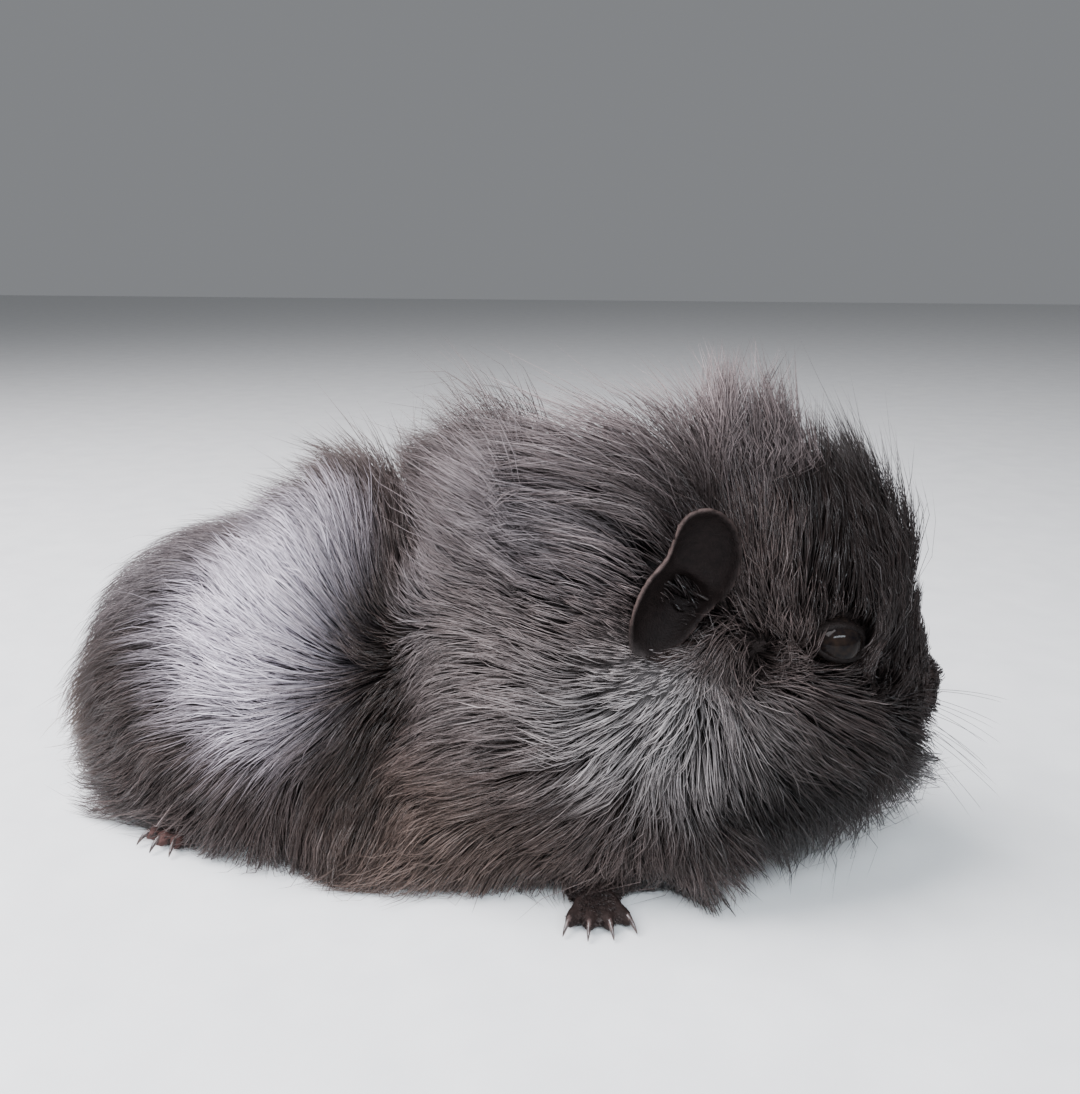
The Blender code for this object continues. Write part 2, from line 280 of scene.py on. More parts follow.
def closed_curve(points, steps):
    """A smooth closed curve through points, with a few steps from each to the next."""
    curve = []
    for index in range(len(points)):
        before, start, end, after = (Vector(points[(index + k - 1) % len(points)]) for k in range(4))
        for step in range(steps):
            t = step / steps
            bend = start * 2 + (end - before) * t
            bend += (before * 2 - start * 5 + end * 4 - after) * t * t
            bend += (start * 3 - before - end * 3 + after) * t * t * t
            curve.append(bend / 2)
    return curve


def ear_frame(side):
    across, tilt, turn = EAR_TURN
    return HEAD @ placed(mirrored(EAR_AT, side), (across * side, tilt, turn * side))


def ear_point(side, u, v, share, lift):
    """A point of the ear's cup: share runs from the middle to the rim, lift goes outwards."""
    x, z = u * share, v * share
    from_canal = (x - CANAL_AT[0]) ** 2 + (z - CANAL_AT[1]) ** 2
    canal = CANAL_DEPTH * math.exp(-from_canal / CANAL_SPREAD)
    across_fold = x * 0.5 + z * 0.85 - FOLD_FROM_MIDDLE
    fold = FOLD_HEIGHT * math.exp(-(across_fold**2) / 1.6) * math.exp(-((x - FOLD_AT) ** 2) / 14)
    roll = ROLL_HEIGHT * max(0.0, share - ROLL_FROM) / (1 - ROLL_FROM)
    depth = lift - EAR_CUP * (1 - share**2.4) - canal + fold + roll
    return Vector((x, side * depth, z))


def ear_share(ear):
    """How far places of the ear's frame are from its middle: 1 on the outline."""
    outline = np.array([point.to_tuple() for point in closed_curve(EAR_OUTLINE, EAR_STEPS)])
    bearings = np.arctan2(outline[:, 1], outline[:, 0])
    order = np.argsort(bearings)
    reach = np.hypot(outline[:, 0], outline[:, 1])[order]
    edge = np.interp(np.arctan2(ear[:, 2], ear[:, 0]), bearings[order], reach, period=2 * math.pi)
    return np.hypot(ear[:, 0], ear[:, 2]) / edge


def ear_rings(shape, side, outline, lift):
    """The middle vertex and the rings of the ear's front or back, which is thinner at the rim."""
    matrix = Matrix.Scale(MM, 4) @ ear_frame(side)
    layers = []
    for ring in range(1, EAR_RINGS + 1):
        share = ring / EAR_RINGS
        points = [ear_point(side, u, v, share, lift * (1 - 0.5 * share)) for u, v in outline]
        layers.append([shape.verts.new(matrix @ point) for point in points])
    return shape.verts.new(matrix @ ear_point(side, 0, 0, 0, lift)), layers


def add_ear(shape, side):
    """A cupped petal with a soft rim, an inner fold and a root that meets the skull."""
    outline = closed_curve(EAR_OUTLINE, EAR_STEPS)
    count = len(outline)
    skins = [ear_rings(shape, side, outline, lift) for lift in EAR_FACES]
    for middle_vertex, layers in skins:
        for step in range(count):
            after = (step + 1) % count
            shape.faces.new((middle_vertex, layers[0][step], layers[0][after]))
            for inner, outer in zip(layers, layers[1:]):
                shape.faces.new((inner[step], outer[step], outer[after], inner[after]))
    front, back = skins[0][1][-1], skins[1][1][-1]
    for step in range(count):
        after = (step + 1) % count
        shape.faces.new((front[step], back[step], back[after], front[after]))
    bmesh.ops.recalc_face_normals(shape, faces=shape.faces[:])
    for u, v in outline:
        centre = ear_point(side, u, v, EAR_RIM_AT, sum(EAR_FACES) / 4)
        add_ellipsoid(shape, ear_frame(side), centre, (EAR_RIM_RADIUS,) * 3, detail=2)
    for centre, radii in EAR_ROOTS:
        add_ellipsoid(shape, ear_frame(side), mirrored(centre, side), radii)


# The opening between the lids: degrees from the eye's axis to each edge, then how far the corners
# are drawn out, then the rolls of each lid: their distance from the edge in degrees, lift and radius.
LID_WIDE = 60
LID_ABOVE = 41
LID_BELOW = 18
LID_CORNER = 6
LID_ROLLS = ((7, 0.1, 0.65), (14, -0.5, 1.0), (23, -1.5, 1.2))
LID_STEPS = 48


def lid_point(side, angle, spread, lift):
    """A point round the eye: the opening is wider than high, and its corners are drawn out."""
    wide = math.radians(LID_WIDE + spread)
    high = math.radians((LID_ABOVE if math.sin(angle) > 0 else LID_BELOW) + spread)
    corner = abs(math.cos(angle)) ** 3 * math.radians(LID_CORNER)
    reach = math.hypot(wide * math.cos(angle), high * math.sin(angle)) + corner
    around = math.atan2(high * math.sin(angle), wide * math.cos(angle))
    level = math.sin(reach)
    out = Vector((level * math.cos(around), math.cos(reach), level * math.sin(around)))
    spot = Vector((0, EYE_SIDE, 0)) + out * (EYE_RADIUS + lift)
    return Vector(mirrored(spot, side))


def add_lids(shape, side):
    """Rolls of skin round the opening of the eye."""
    for spread, lift, radius in LID_ROLLS:
        for step in range(LID_STEPS):
            centre = lid_point(side, 2 * math.pi * step / LID_STEPS, spread, lift)
            add_ellipsoid(shape, HEAD, centre, (radius, radius, radius), detail=2)


def skin_mesh():
    shape = bmesh.new()
    add_body(shape)
    for name in FEET:
        add_foot(shape, name)
    for side in SIDES.values():
        add_ear(shape, side)
        add_lids(shape, side)
    return remeshed(shape, "skin", SKIN_VOXEL, SKIN_SMOOTHING)


def vertex_array(mesh):
    places = np.empty(len(mesh.vertices) * 3, np.float64)
    mesh.vertices.foreach_get("co", places)
    return places.reshape(-1, 3)


def normal_array(mesh):
    normals = np.empty(len(mesh.vertices) * 3, np.float64)
    mesh.vertex_normals.foreach_get("vector", normals)
    return normals.reshape(-1, 3)


def in_frame(points, parent):
    """Points of the scene, in metres, as millimetres in a frame."""
    inverse = np.array(parent.inverted())
    return points / MM @ inverse[:3, :3].T + inverse[:3, 3]


def out_of_frame(points, parent):
    matrix = np.array(parent)
    return (np.atleast_2d(points) @ matrix[:3, :3].T + matrix[:3, 3]) * MM


def smoothstep(value, low, high):
    """0 at low and below it, 1 at high and beyond; low may be the larger of the two."""
    t = np.clip((value - low) / (high - low), 0, 1)
    return t * t * (3 - 2 * t)


def middle_line(along):
    """Where right and left part, across the body, at places along it."""
    return TAIL_MIDDLE - NECK_BEND * smoothstep(along, *NECK_BEND_ALONG)


# Grooves pressed into the skin, in the head's frame: centre, radii and depth.
GROOVES = (
    ((29.5, 2.5, -13.6), (1.8, 1.1, 0.9), 2.2),
    ((28.0, 3.6, -12.4), (1.8, 0.9, 0.8), 1.4),
    ((29.6, 0, -19.0), (3.0, 0.45, 3.2), 0.8),
    ((25.5, 2.6, -22.0), (3.4, 3.0, 0.6), 1.0),
    ((20.0, 5.4, -22.6), (4.5, 2.2, 0.6), 0.8),
)


def groove_depth(local):
    """How deep the grooves are at places of the head's frame, in millimetres."""
    depth = np.zeros(len(local))
    for centre, radii, amount in GROOVES:
        for side in SIDES.values():
            gap = (local - np.array(mirrored(centre, side))) / np.array(radii)
            depth = np.maximum(depth, amount * np.exp(-(gap**2).sum(axis=1)))
    return depth


def press_grooves(mesh):
    """Nostrils, the cleft under the nose and the line of the mouth."""
    places = vertex_array(mesh)
    normals = normal_array(mesh)
    places -= normals * groove_depth(in_frame(places, HEAD))[:, None] * MM
    mesh.vertices.foreach_set("co", places.ravel())
    mesh.update()


# ---------------------------------------------------------------- the lie of the coat

# The lie of the hair on the right side: a place in the body's frame in millimetres, the way the
# hair points as seen from that side (0 to the nose, 90 up, 180 to the tail), how upright it is, and
# by how many millimetres its tips pass the solids.
BODY_GUIDES = (
    # rump and haunch, sleek and swept back from the whorl on the hip
    ((-26, -36, 56), 172, 0.0, 0),
    ((-36, -36, 60), 163, 0.0, 0),
    ((-46, -30, 64), 155, 0.1, 0),
    ((-32, -28, 72), 150, 0.1, -3),
    ((-52, -12, 68), 165, 0.05, -1),
    ((-48, -36, 50), 180, 0.0, 0),
    ((-66, -30, 52), 192, 0.0, 0),
    ((-74, -14, 54), 190, 0.0, 0),
    ((-78, -24, 40), 212, 0.0, 0),
    ((-88, -8, 34), 235, 0.1, 0),
    ((-34, -40, 46), 192, 0.0, 0),
    ((-54, -38, 36), 200, 0.0, 0),
    ((-28, -42, 34), 212, 0.0, 0),
    ((-46, -40, 22), 225, 0.1, 0),
    ((-26, -42, 16), 235, 0.1, 0),
    ((-80, -26, 20), 215, 0.25, 2),
    ((-64, -36, 12), 240, 0.15, 0),
    ((-88, -6, 14), 240, 0.2, 0),
    ((-30, -8, 78), 160, 0.05, -6),
    # the ridge where the hair from the hip meets the hair from the flank
    ((-20, -36, 60), 138, 0.5, 3),
    ((-19, -29, 72), 112, 0.95, 13),
    ((-20, -14, 81), 112, 0.95, 15),
    ((-19, -4, 82), 112, 0.95, 13),
    ((-11, -34, 62), 118, 0.8, 1),
    ((-9, -25, 75), 112, 0.3, -9),
    ((-10, -12, 82), 108, 0.3, -13),
    ((-1, -30, 68), 124, 0.4, -5),
    ((-1, -20, 80), 124, 0.3, -5),
    ((6, -34, 58), 142, 0.2, -3),
    # the dark hollow behind the ridge
    ((-14, -38, 48), 205, 0.3, -4),
    ((-6, -40, 40), 240, 0.1, -7),
    ((-6, -38, 50), 230, 0.1, -7),
    ((-14, -40, 30), 230, 0.1, 0),
    # flank
    ((12, -34, 52), 165, 0.1, 0),
    ((24, -34, 52), 172, 0.1, 0),
    ((5, -38, 44), 190, 0.05, -4),
    ((20, -38, 42), 188, 0.05, 0),
    ((0, -42, 30), 215, 0.1, 0),
    ((16, -42, 28), 210, 0.1, 0),
    ((-4, -44, 14), 238, 0.15, 0),
    ((14, -44, 12), 230, 0.15, 0),
    # the long hair of the shoulders and the tufts on top of the back
    ((22, -32, 62), 152, 0.1, 0),
    ((14, -26, 76), 170, 0.15, 3),
    ((24, -26, 80), 165, 0.15, 4),
    ((12, -22, 84), 148, 0.4, 5),
    ((24, -18, 88), 150, 0.45, 8),
    ((7, -16, 88), 118, 0.75, 9),
    ((12, -8, 92), 120, 0.8, 10),
    ((6, -4, 90), 116, 0.8, 10),
    # under the body
    ((-50, -10, 3), 180, 0.0, 0),
    ((-10, -12, 3), 180, 0.0, 0),
    ((24, -16, 3), 180, 0.0, 0),
)
HEAD_GUIDES = (
    # neck and shawl
    ((34, -30, 60), 158, 0.1, 0),
    ((38, -30, 64), 175, 0.1, 0),
    ((32, -30, 70), 172, 0.15, 0),
    ((40, -30, 76), 158, 0.1, 0),
    ((34, -26, 82), 150, 0.2, 5),
    ((42, -26, 84), 135, 0.35, 5),
    ((36, -14, 92), 152, 0.35, 6),
    ((36, -34, 50), 182, 0.05, 0),
    # cheek and throat, spread from a whorl below the ear
    ((44, -34, 46), 195, 0.1, 0),
    ((40, -36, 40), 214, 0.15, 0),
    ((34, -40, 28), 232, 0.2, 0),
    ((28, -42, 14), 238, 0.2, 0),
    ((46, -38, 36), 252, 0.25, 0),
    ((46, -38, 22), 265, 0.3, 0),
    ((40, -38, 10), 262, 0.2, 0),
    ((56, -36, 36), 290, 0.25, 0),
    ((58, -34, 22), 298, 0.3, 0),
    ((56, -34, 10), 285, 0.2, 0),
    ((54, -34, 46), 320, 0.1, 0),
    ((62, -32, 50), 345, 0.05, 0),
    ((66, -34, 40), 330, 0.15, 0),
    ((70, -32, 28), 316, 0.3, 0),
    ((76, -28, 44), 350, 0.1, 0),
    ((80, -26, 34), 338, 0.3, 2),
    ((74, -28, 18), 298, 0.4, 0),
    ((86, -14, 26), 325, 0.4, 4),
    # temple, between ear and eye
    ((57, -33, 52), 200, 0.15, 3),
    ((54, -31, 58), 192, 0.2, 1),
    ((58, -30, 66), 96, 0.1, 0),
    ((64, -30, 60), 140, 0.1, 0),
    ((70, -28, 62), 95, 0.05, 0),
    # crest
    ((48, -28, 82), 110, 0.6, 5),
    ((56, -28, 82), 98, 0.6, 9),
    ((50, -12, 92), 106, 0.8, 7),
    ((60, -12, 90), 96, 0.8, 12),
    ((64, -26, 80), 84, 0.5, 4),
    ((62, -30, 72), 64, 0.15, 0),
    ((70, -24, 76), 72, 0.4, 0),
    ((76, -20, 72), 80, 0.35, 2),
    ((70, -12, 84), 86, 0.7, -4),
    ((80, -12, 74), 84, 0.6, 3),
    # forehead, bridge of the nose and lips
    ((84, -16, 62), 88, 0.2, 8),
    ((90, -8, 64), 80, 0.5, 19),
    ((88, -14, 52), 98, 0.05, 3),
    ((92, -6, 52), 88, 0.15, 6),
    ((90, -1, 48), 92, 0.05, 3.5),
    ((96, -1, 42), 98, 0.0, 0.5),
    ((92, -11, 44), 120, 0.0, 0),
    ((84, -20, 46), 170, 0.0, 0),
    ((93, -7, 36), 215, 0.0, 0),
    ((86, -14, 36), 345, 0.0, 2),
    ((93, -4, 29), 300, 0.1, 3),
    ((92, -4, 22), 320, 0.4, 5),
)
# Nearer to a guide than this, the others hardly count.
GUIDE_REACH = 5.0
# The rays that measure the coat's depth start this far outside the body, in metres.
RAY_START = 0.08
LEAST_DEPTH = 0.3
FOOT_DEPTH = 1.3
# Where a foot is, for its coat and for its skin: the middle of it along the toes, then the distance
# from there and the height over which it fades out.
FOOT_COAT = (2, (11, 15), (5, 9))
FOOT_SKIN = (3, (9, 16), (7, 12))


def unit(vectors):
    return vectors / np.maximum(np.linalg.norm(vectors, axis=-1, keepdims=True), 1e-12)


def along_surface(vectors, normals):
    return vectors - (vectors * normals).sum(axis=1)[:, None] * normals


def all_guides():
    """Places in millimetres, headings, uprightness and added length of the guides of both sides."""
    places, ways, upright, added = [], [], [], []
    for table, parent in ((BODY_GUIDES, BODY_MIDDLE), (HEAD_GUIDES, HEAD)):
        turn = parent.to_3x3()
        for place, angle, standing, longer in table:
            own = parent.inverted() @ BODY @ Vector(place)
            slope = math.radians(angle)
            way = turn @ Vector((math.cos(slope), 0, math.sin(slope)))
            for side in SIDES.values():
                spot = Vector((own.x, -abs(own.y) * -side, own.z))
                places.append(parent @ spot)
                ways.append(way)
                upright.append(standing)
                added.append(longer)
    return np.array(places), np.array(ways), np.array(upright), np.array(added)


def near_foot(points, name, zone=FOOT_COAT):
    """1 on a foot, 0 away from it."""
    middle_along, reach, height = zone
    foot = in_frame(points, foot_frame(name))
    near = 1 - smoothstep(np.hypot(foot[:, 0] - middle_along, foot[:, 1]), *reach)
    return near * (1 - smoothstep(foot[:, 2], *height))


class Fields:
    """The coat's depth and lie at every vertex of a smooth, coarse copy of the bare body."""

    def __init__(self):
        shape = bmesh.new()
        add_body(shape)
        for name in FEET:
            add_foot(shape, name)
        mesh = remeshed(shape, "field", FIELD_VOXEL, FIELD_SMOOTHING)
        mesh.calc_loop_triangles()
        self.triangles = np.array([tri.vertices for tri in mesh.loop_triangles])
        self.places = vertex_array(mesh)
        self.edges = np.array([edge.vertices for edge in mesh.edges])
        self.normals = unit(self.blurred(normal_array(mesh), 6))
        self.outward = self.draped_normals()
        self.tree = BVHTree.FromPolygons(self.places.tolist(), self.triangles.tolist())
        self.depth = self.coat_depth()
        self.lie, self.upright, self.climb = self.coat_lie()
        bpy.data.meshes.remove(mesh)

    def blurred(self, values, rounds):
        """Values averaged with their neighbours along the edges."""
        values = np.array(values, float)
        flat = values.reshape(len(values), -1)
        count = np.bincount(self.edges.ravel(), minlength=len(flat)) + 1.0
        for _ in range(rounds):
            total = flat.copy()
            for column in range(flat.shape[1]):
                start, end = self.edges[:, 0], self.edges[:, 1]
                total[:, column] += np.bincount(start, flat[end, column], len(flat))
                total[:, column] += np.bincount(end, flat[start, column], len(flat))
            flat = total / count[:, None]
        return flat.reshape(values.shape)

    def draped_normals(self):
        """The way the coat stands off: under the flanks the hair hangs, so it turns outwards."""
        level = np.hypot(self.normals[:, 0], self.normals[:, 1])
        lift = np.maximum(0, -self.normals[:, 2] - 0.05) * smoothstep(level, 0.2, 0.6)
        outward = self.normals.copy()
        outward[:, 2] += lift
        return unit(self.blurred(outward, 2))

    def coat_depth(self):
        """How far the solids of the coat stand out from the bare body, in millimetres."""
        trees = coat_trees()
        depth = np.zeros(len(self.places))
        for index, (place, normal) in enumerate(zip(self.places, self.outward)):
            outward = Vector(normal)
            start = Vector(place) + outward * RAY_START
            reach = 0.0
            for tree in trees:
                hit = tree.ray_cast(start, -outward, RAY_START)
                if hit[0] is not None:
                    reach = max(reach, RAY_START - hit[3])
            depth[index] = reach / MM
        depth = self.blurred(np.minimum(depth, LONGEST), 3)
        for name in FEET:
            depth *= 1 - 0.75 * near_foot(self.places, name)
        return depth

    def coat_lie(self):
        """The way the hair lies at each vertex, how upright it stands and how steeply it climbs."""
        places, ways, upright, added = all_guides()
        on_body = np.array([self.tree.find_nearest(Vector(place * MM))[0] for place in places]) / MM
        points = self.places / MM
        gap = np.linalg.norm(points[:, None, :] - on_body[None, :, :], axis=2)
        weights = 1 / (gap**2 + GUIDE_REACH**2) ** 2
        weights /= weights.sum(axis=1)[:, None]
        lie = weights @ ways
        upright = weights @ upright
        longer = weights @ added * smoothstep(self.depth, -1.5, 1.5)
        self.depth = np.maximum(self.depth + longer, LEAST_DEPTH)
        for name in FEET:
            near = near_foot(self.places, name)
            self.depth = np.maximum(self.depth, FOOT_DEPTH * near)
            forward = np.array(foot_frame(name).to_3x3() @ Vector((1, 0, -0.25)))
            lie += near[:, None] * (forward - lie)
            upright *= 1 - near
        lie = unit(self.blurred(lie, 1))
        flat = along_surface(lie, self.outward)
        rising = np.maximum((lie * self.outward).sum(axis=1), 0)
        climb = np.minimum(rising / np.maximum(np.linalg.norm(flat, axis=1), 0.1), 4.0)
        return unit(flat), self.blurred(upright, 1), self.blurred(climb, 1)

    def look_up(self, points):
        """The nearest places on the body, with the outward way, depth, lie, uprightness and climb."""
        hits = [self.tree.find_nearest(Vector(point)) for point in points]
        found = np.array([hit[0] for hit in hits])
        corners = self.triangles[[hit[2] for hit in hits]]
        a, b, c = (self.places[corners[:, k]] for k in range(3))
        across, along, inside = b - a, c - a, found - a
        dots = [(u * v).sum(axis=1) for u, v in ((across, across), (across, along), (along, along))]
        first = (inside * across).sum(axis=1)
        second = (inside * along).sum(axis=1)
        scale = dots[0] * dots[2] - dots[1] ** 2 + 1e-30
        v = (dots[2] * first - dots[1] * second) / scale
        w = (dots[0] * second - dots[1] * first) / scale
        shares = np.stack([1 - v - w, v, w], axis=1)
        mixed = [
            (field[corners] * shares.reshape(shares.shape + (1,) * (field.ndim - 1))).sum(axis=1)
            for field in (self.outward, self.depth, self.lie, self.upright, self.climb)
        ]
        return found, unit(mixed[0]), mixed[1], unit(mixed[2]), mixed[3], mixed[4]


def coat_nodes():
    bare = ("eye", "ear", "foreclaw", "hind_claw")
    return [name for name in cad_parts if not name.startswith(bare)]


def mesh_tree(mesh):
    faces = [polygon.vertices[:] for polygon in mesh.polygons]
    return BVHTree.FromPolygons(vertex_array(mesh).tolist(), faces)


def coat_trees():
    return [mesh_tree(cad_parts[name].data) for name in coat_nodes()]


# ---------------------------------------------------------------- growing the coat

# Kinds of hair: strands, segments, width in millimetres, the share of the coat's depth that they
# reach, how far they gather into locks, how far each one strays from its lock, and their shade.
TOP_HAIR = {
    "count": 64000, "segments": 3, "width": 0.185, "layers": (0.5, 1.12), "gather": 1.0, "stray": 0.020,
    "shade": 1.0,
}
LONG_HAIR = {**TOP_HAIR, "segments": 4, "gather": 0.85}
# The under hair is darker than the top hair: painted shade beneath the top coat.
UNDER_HAIR = {
    "count": 8500, "segments": 2, "width": 0.75, "layers": (0.18, 0.55), "gather": 0.3, "stray": 0.02,
    "shade": 0.4,
}
FACE_HAIR = {
    "count": 14000, "segments": 3, "width": 0.17, "layers": (0.3, 1.05), "gather": 0.7, "stray": 0.03,
    "shade": 1.0,
}
STRAY_HAIR = {
    "count": 2200, "segments": 4, "width": 0.13, "layers": (0.9, 1.25), "gather": 0.25, "stray": 0.08,
    "shade": 1.25,
}
# Coat shallower than the first is face hair, and top hair deeper than the second is long hair.
SHORT_BELOW = 4.5
LONG_ABOVE = 17.0

# A strand's length: what every one has, what the coat's depth adds, and the greatest length.
LENGTH_AT_LEAST = 1.4
LENGTH_PER_DEPTH = 1.15
LENGTH_ADDED = 6.0
LONGEST = 46.0
# The hem of the coat near the floor is longer. It gives way to the throat's shorter hair between
# these places along the body.
HEM_ADDED = 6.0
THROAT = (36, 50)
THROAT_CLEARANCE = 4.0

# The roots stand twice as close where the coat is this deep. On the temples and the feet they stand
# closer by these shares, and the belly keeps only the rest of its own.
DENSE_DEPTH = 16.0
TEMPLE_CLOSER = 1.5
FOOT_CLOSER = 3
BELLY_THINNER = 0.85

# The temple between ear and eye, where the hair is tangled, and the tip of the nose, where it is
# short: places of the head's frame and the distances over which they fade out.
TEMPLE_AT = (-17, 14, -1)
TEMPLE_REACH = (4, 14)
NOSE_AT = (30, 0, -13)
NOSE_REACH = (5, 12)
NOSE_PAD = ((30.0, 0, -15), (2.8, 3.4, 3.0))
NOSE_FLATTER = 0.6
NOSE_SHORTER = 0.45
# How much single strands turn from the lie of the coat, in radians, and how much more on the
# temples; then the length and strength of the slow wave that all of them follow.
SWAY = 0.12
TEMPLE_TANGLE = 3
WAVE_LENGTH = 9.0
WAVE_STRENGTH = 0.26
# Between these heights over the floor the hair turns from lying on the body to hanging.
HANGING = (22, 8)

ROOT_SINK = 0.5
# The true skin may stand this far out of the smooth copy that the coat is grown from.
MOST_RAISED = 1.5
STRANDS_PER_LOCK = 13
LOCK_BEND = 0.048
LOCK_SHADE = 0.15
# Deep coat has strands that are wider by this share.
FANNED = (18, 34)
FANNED_WIDER = 0.35

# Hair that nears the floor by less than the band is pressed together above the clearance.
FLOOR_CLEARANCE = 0.5
FLOOR_BAND = 1.2
FLOOR_SOFTNESS = 3
SOLE_HEIGHT = 0.7
BOX_ALLOWANCE = 8.0
# Strands that would cross an ear or an eye are cut back to this share of their length.
TRIMMED = 0.45
# One strand in so many may cross the ear's canal.
CANAL_HAIR_EVERY = 5
# How far in front of an eye or an ear a strand counts as crossing it.
EYE_FRONT = 12
EAR_FRONT = 14
# Half the width and half the height of the opening between the lids, and of the ear's bare root.
OPENING = (4.4, 2.6)
OPENING_MARGIN = 1.08
EAR_ROOT = (3, 4.5)


def bare_places(points):
    """Where no hair grows: the eyes, the nose pad, the ears' own room and the soles."""
    local = in_frame(points, HEAD)
    bare = np.zeros(len(points), bool)
    for side in SIDES.values():
        gap = local - np.array((0, EYE_SIDE * side, 0))
        across = np.hypot(gap[:, 0] / OPENING[0], gap[:, 2] / OPENING[1])
        bare |= (across < OPENING_MARGIN) & (gap[:, 1] * side > -EYE_RADIUS)
        ear = in_frame(points, ear_frame(side))
        root = (ear[:, 0] / EAR_ROOT[0]) ** 2 + (ear[:, 2] / EAR_ROOT[1]) ** 2 < 1
        bare |= root & (np.abs(ear[:, 1]) < EAR_FRONT)
    pad_middle, pad_radii = NOSE_PAD
    pad = (local - np.array(pad_middle)) / np.array(pad_radii)
    bare |= (pad**2).sum(axis=1) < 1
    return bare | (points[:, 2] < SOLE_HEIGHT * MM)


def sample_roots(fields, count, wanted):
    """Places spread over the chosen faces, closest on deep coat, forehead, temples and feet."""
    corners = fields.places[fields.triangles]
    cross = np.cross(corners[:, 1] - corners[:, 0], corners[:, 2] - corners[:, 0])
    area = np.linalg.norm(cross, axis=1)
    facing = cross[:, 2] / area
    deep = fields.depth[fields.triangles].mean(axis=1) / DENSE_DEPTH
    middles = corners.mean(axis=1)
    belly = smoothstep(-facing, 0.5, 0.9) * (1 - smoothstep(middles[:, 2] / MM, 10, 16))
    share = area * wanted * (1 - BELLY_THINNER * belly) * (1 + deep**2)
    local = in_frame(middles, HEAD)
    share *= 1 + smoothstep(local[:, 0], 0, 10) * smoothstep(local[:, 2], -14, -6)
    share *= 1 + TEMPLE_CLOSER * near_temple(middles)
    for name in FEET:
        share *= 1 + FOOT_CLOSER * near_foot(middles, name)
    ladder = np.cumsum(share)
    steps = (np.arange(count) + random.random(count)) / count * ladder[-1]
    chosen = np.searchsorted(ladder, steps)
    first, second = random.random(count), random.random(count)
    over = first + second > 1
    first[over], second[over] = 1 - first[over], 1 - second[over]
    picked = corners[chosen]
    return (
        picked[:, 0]
        + first[:, None] * (picked[:, 1] - picked[:, 0])
        + second[:, None] * (picked[:, 2] - picked[:, 0])
    )


def near_nose(points):
    """1 on the tip of the nose, 0 behind the muzzle."""
    gap = np.linalg.norm(in_frame(points, HEAD) - np.array(NOSE_AT), axis=1)
    return 1 - smoothstep(gap, *NOSE_REACH)


def near_temple(points):
    """1 between ear and eye, 0 away from there."""
    local = in_frame(points, HEAD)
    near = np.zeros(len(points))
    for side in SIDES.values():
        gap = np.linalg.norm(local - np.array(mirrored(TEMPLE_AT, side)), axis=1)
        near = np.maximum(near, 1 - smoothstep(gap, *TEMPLE_REACH))
    return near


def wander(points):
    """A slow wave over the body, which keeps the locks from lying like combed rows."""
    waves = np.array(((1.0, 0.4, -0.7), (-0.5, 1.1, 0.6), (0.3, -0.8, 1.2)))
    phases = np.array((0.4, 2.1, 4.0))
    return WAVE_STRENGTH * np.sin(points / MM @ waves.T / WAVE_LENGTH + phases).sum(axis=1) / 1.7


def turned(vectors, axes, angles):
    """Vectors turned about unit axes that stand square to them."""
    return vectors * np.cos(angles)[:, None] + np.cross(axes, vectors) * np.sin(angles)[:, None]


def strand_lengths(roots, depth, layer):
    """Lengths in millimetres: shorter near the floor, at the throat and on the nose."""
    height = roots[:, 2] / MM
    length = LENGTH_AT_LEAST + LENGTH_PER_DEPTH * depth + LENGTH_ADDED * smoothstep(depth, 1.5, 9)
    fore = smoothstep(in_frame(roots, BODY)[:, 0], *THROAT)
    length += HEM_ADDED * (1 - fore) * smoothstep(depth, 3, 8) * (1 - smoothstep(height, 10, 26))
    length -= fore * np.maximum(0, length - 1.1 * np.maximum(height - THROAT_CLEARANCE, 4))
    length *= 0.45 + 0.55 * smoothstep(height, 4, 14)
    varied = 0.78 + 0.34 * random.random(len(roots))
    length = np.minimum(length, LONGEST) * varied * (0.5 + 0.5 * layer)
    return length * (1 - NOSE_SHORTER * near_nose(roots))


def grow(fields, skin_tree, roots, kind):
    """The points of each strand from root to tip, and the length of each strand."""
    count, segments = len(roots), kind["segments"]
    low_layer, high_layer = kind["layers"]
    _, outward, depth, lie, upright, climb = fields.look_up(roots)
    depth = depth * (1 - NOSE_FLATTER * near_nose(roots))
    layer = low_layer + (high_layer - low_layer) * random.random(count) ** 0.6
    length = strand_lengths(roots, depth, layer)
    rise = np.minimum(layer * depth, 0.95 * length)
    run = np.sqrt(np.maximum(length**2 - rise**2, 0)) * (1 - 0.4 * upright)
    run = np.minimum(run, rise / np.maximum(climb, 0.01)) * MM
    bend = 2.0 - 0.9 * np.maximum(upright, np.minimum(climb, 1))
    sway = random.normal(0, SWAY, count) * (1 + TEMPLE_TANGLE * near_temple(roots))
    start = np.array([skin_tree.find_nearest(Vector(point))[0] for point in roots])
    raised = np.clip(((start - roots) * outward).sum(axis=1), 0, MOST_RAISED * MM)
    points = [start - outward * ROOT_SINK * MM]
    ground = roots
    for step in range(1, segments + 1):
        share = step / segments
        angle = wander(ground) + sway
        heading = turned(lie, outward, angle)
        ahead = ground + heading * (run / segments)[:, None]
        snapped, outward, here, lie, _, _ = fields.look_up(ahead)
        hanging = smoothstep(snapped[:, 2] / MM, *HANGING)[:, None]
        ground = snapped + hanging * (ahead - snapped)
        lie = unit(lie + hanging * (heading - lie))
        reach = layer * (0.5 * depth + 0.5 * here)
        height = np.minimum(reach, rise * 1.15) * (1 - (1 - share) ** bend)
        points.append(ground + outward * (raised + height * MM + 0.15 * MM)[:, None])
    return np.stack(points, axis=1), length


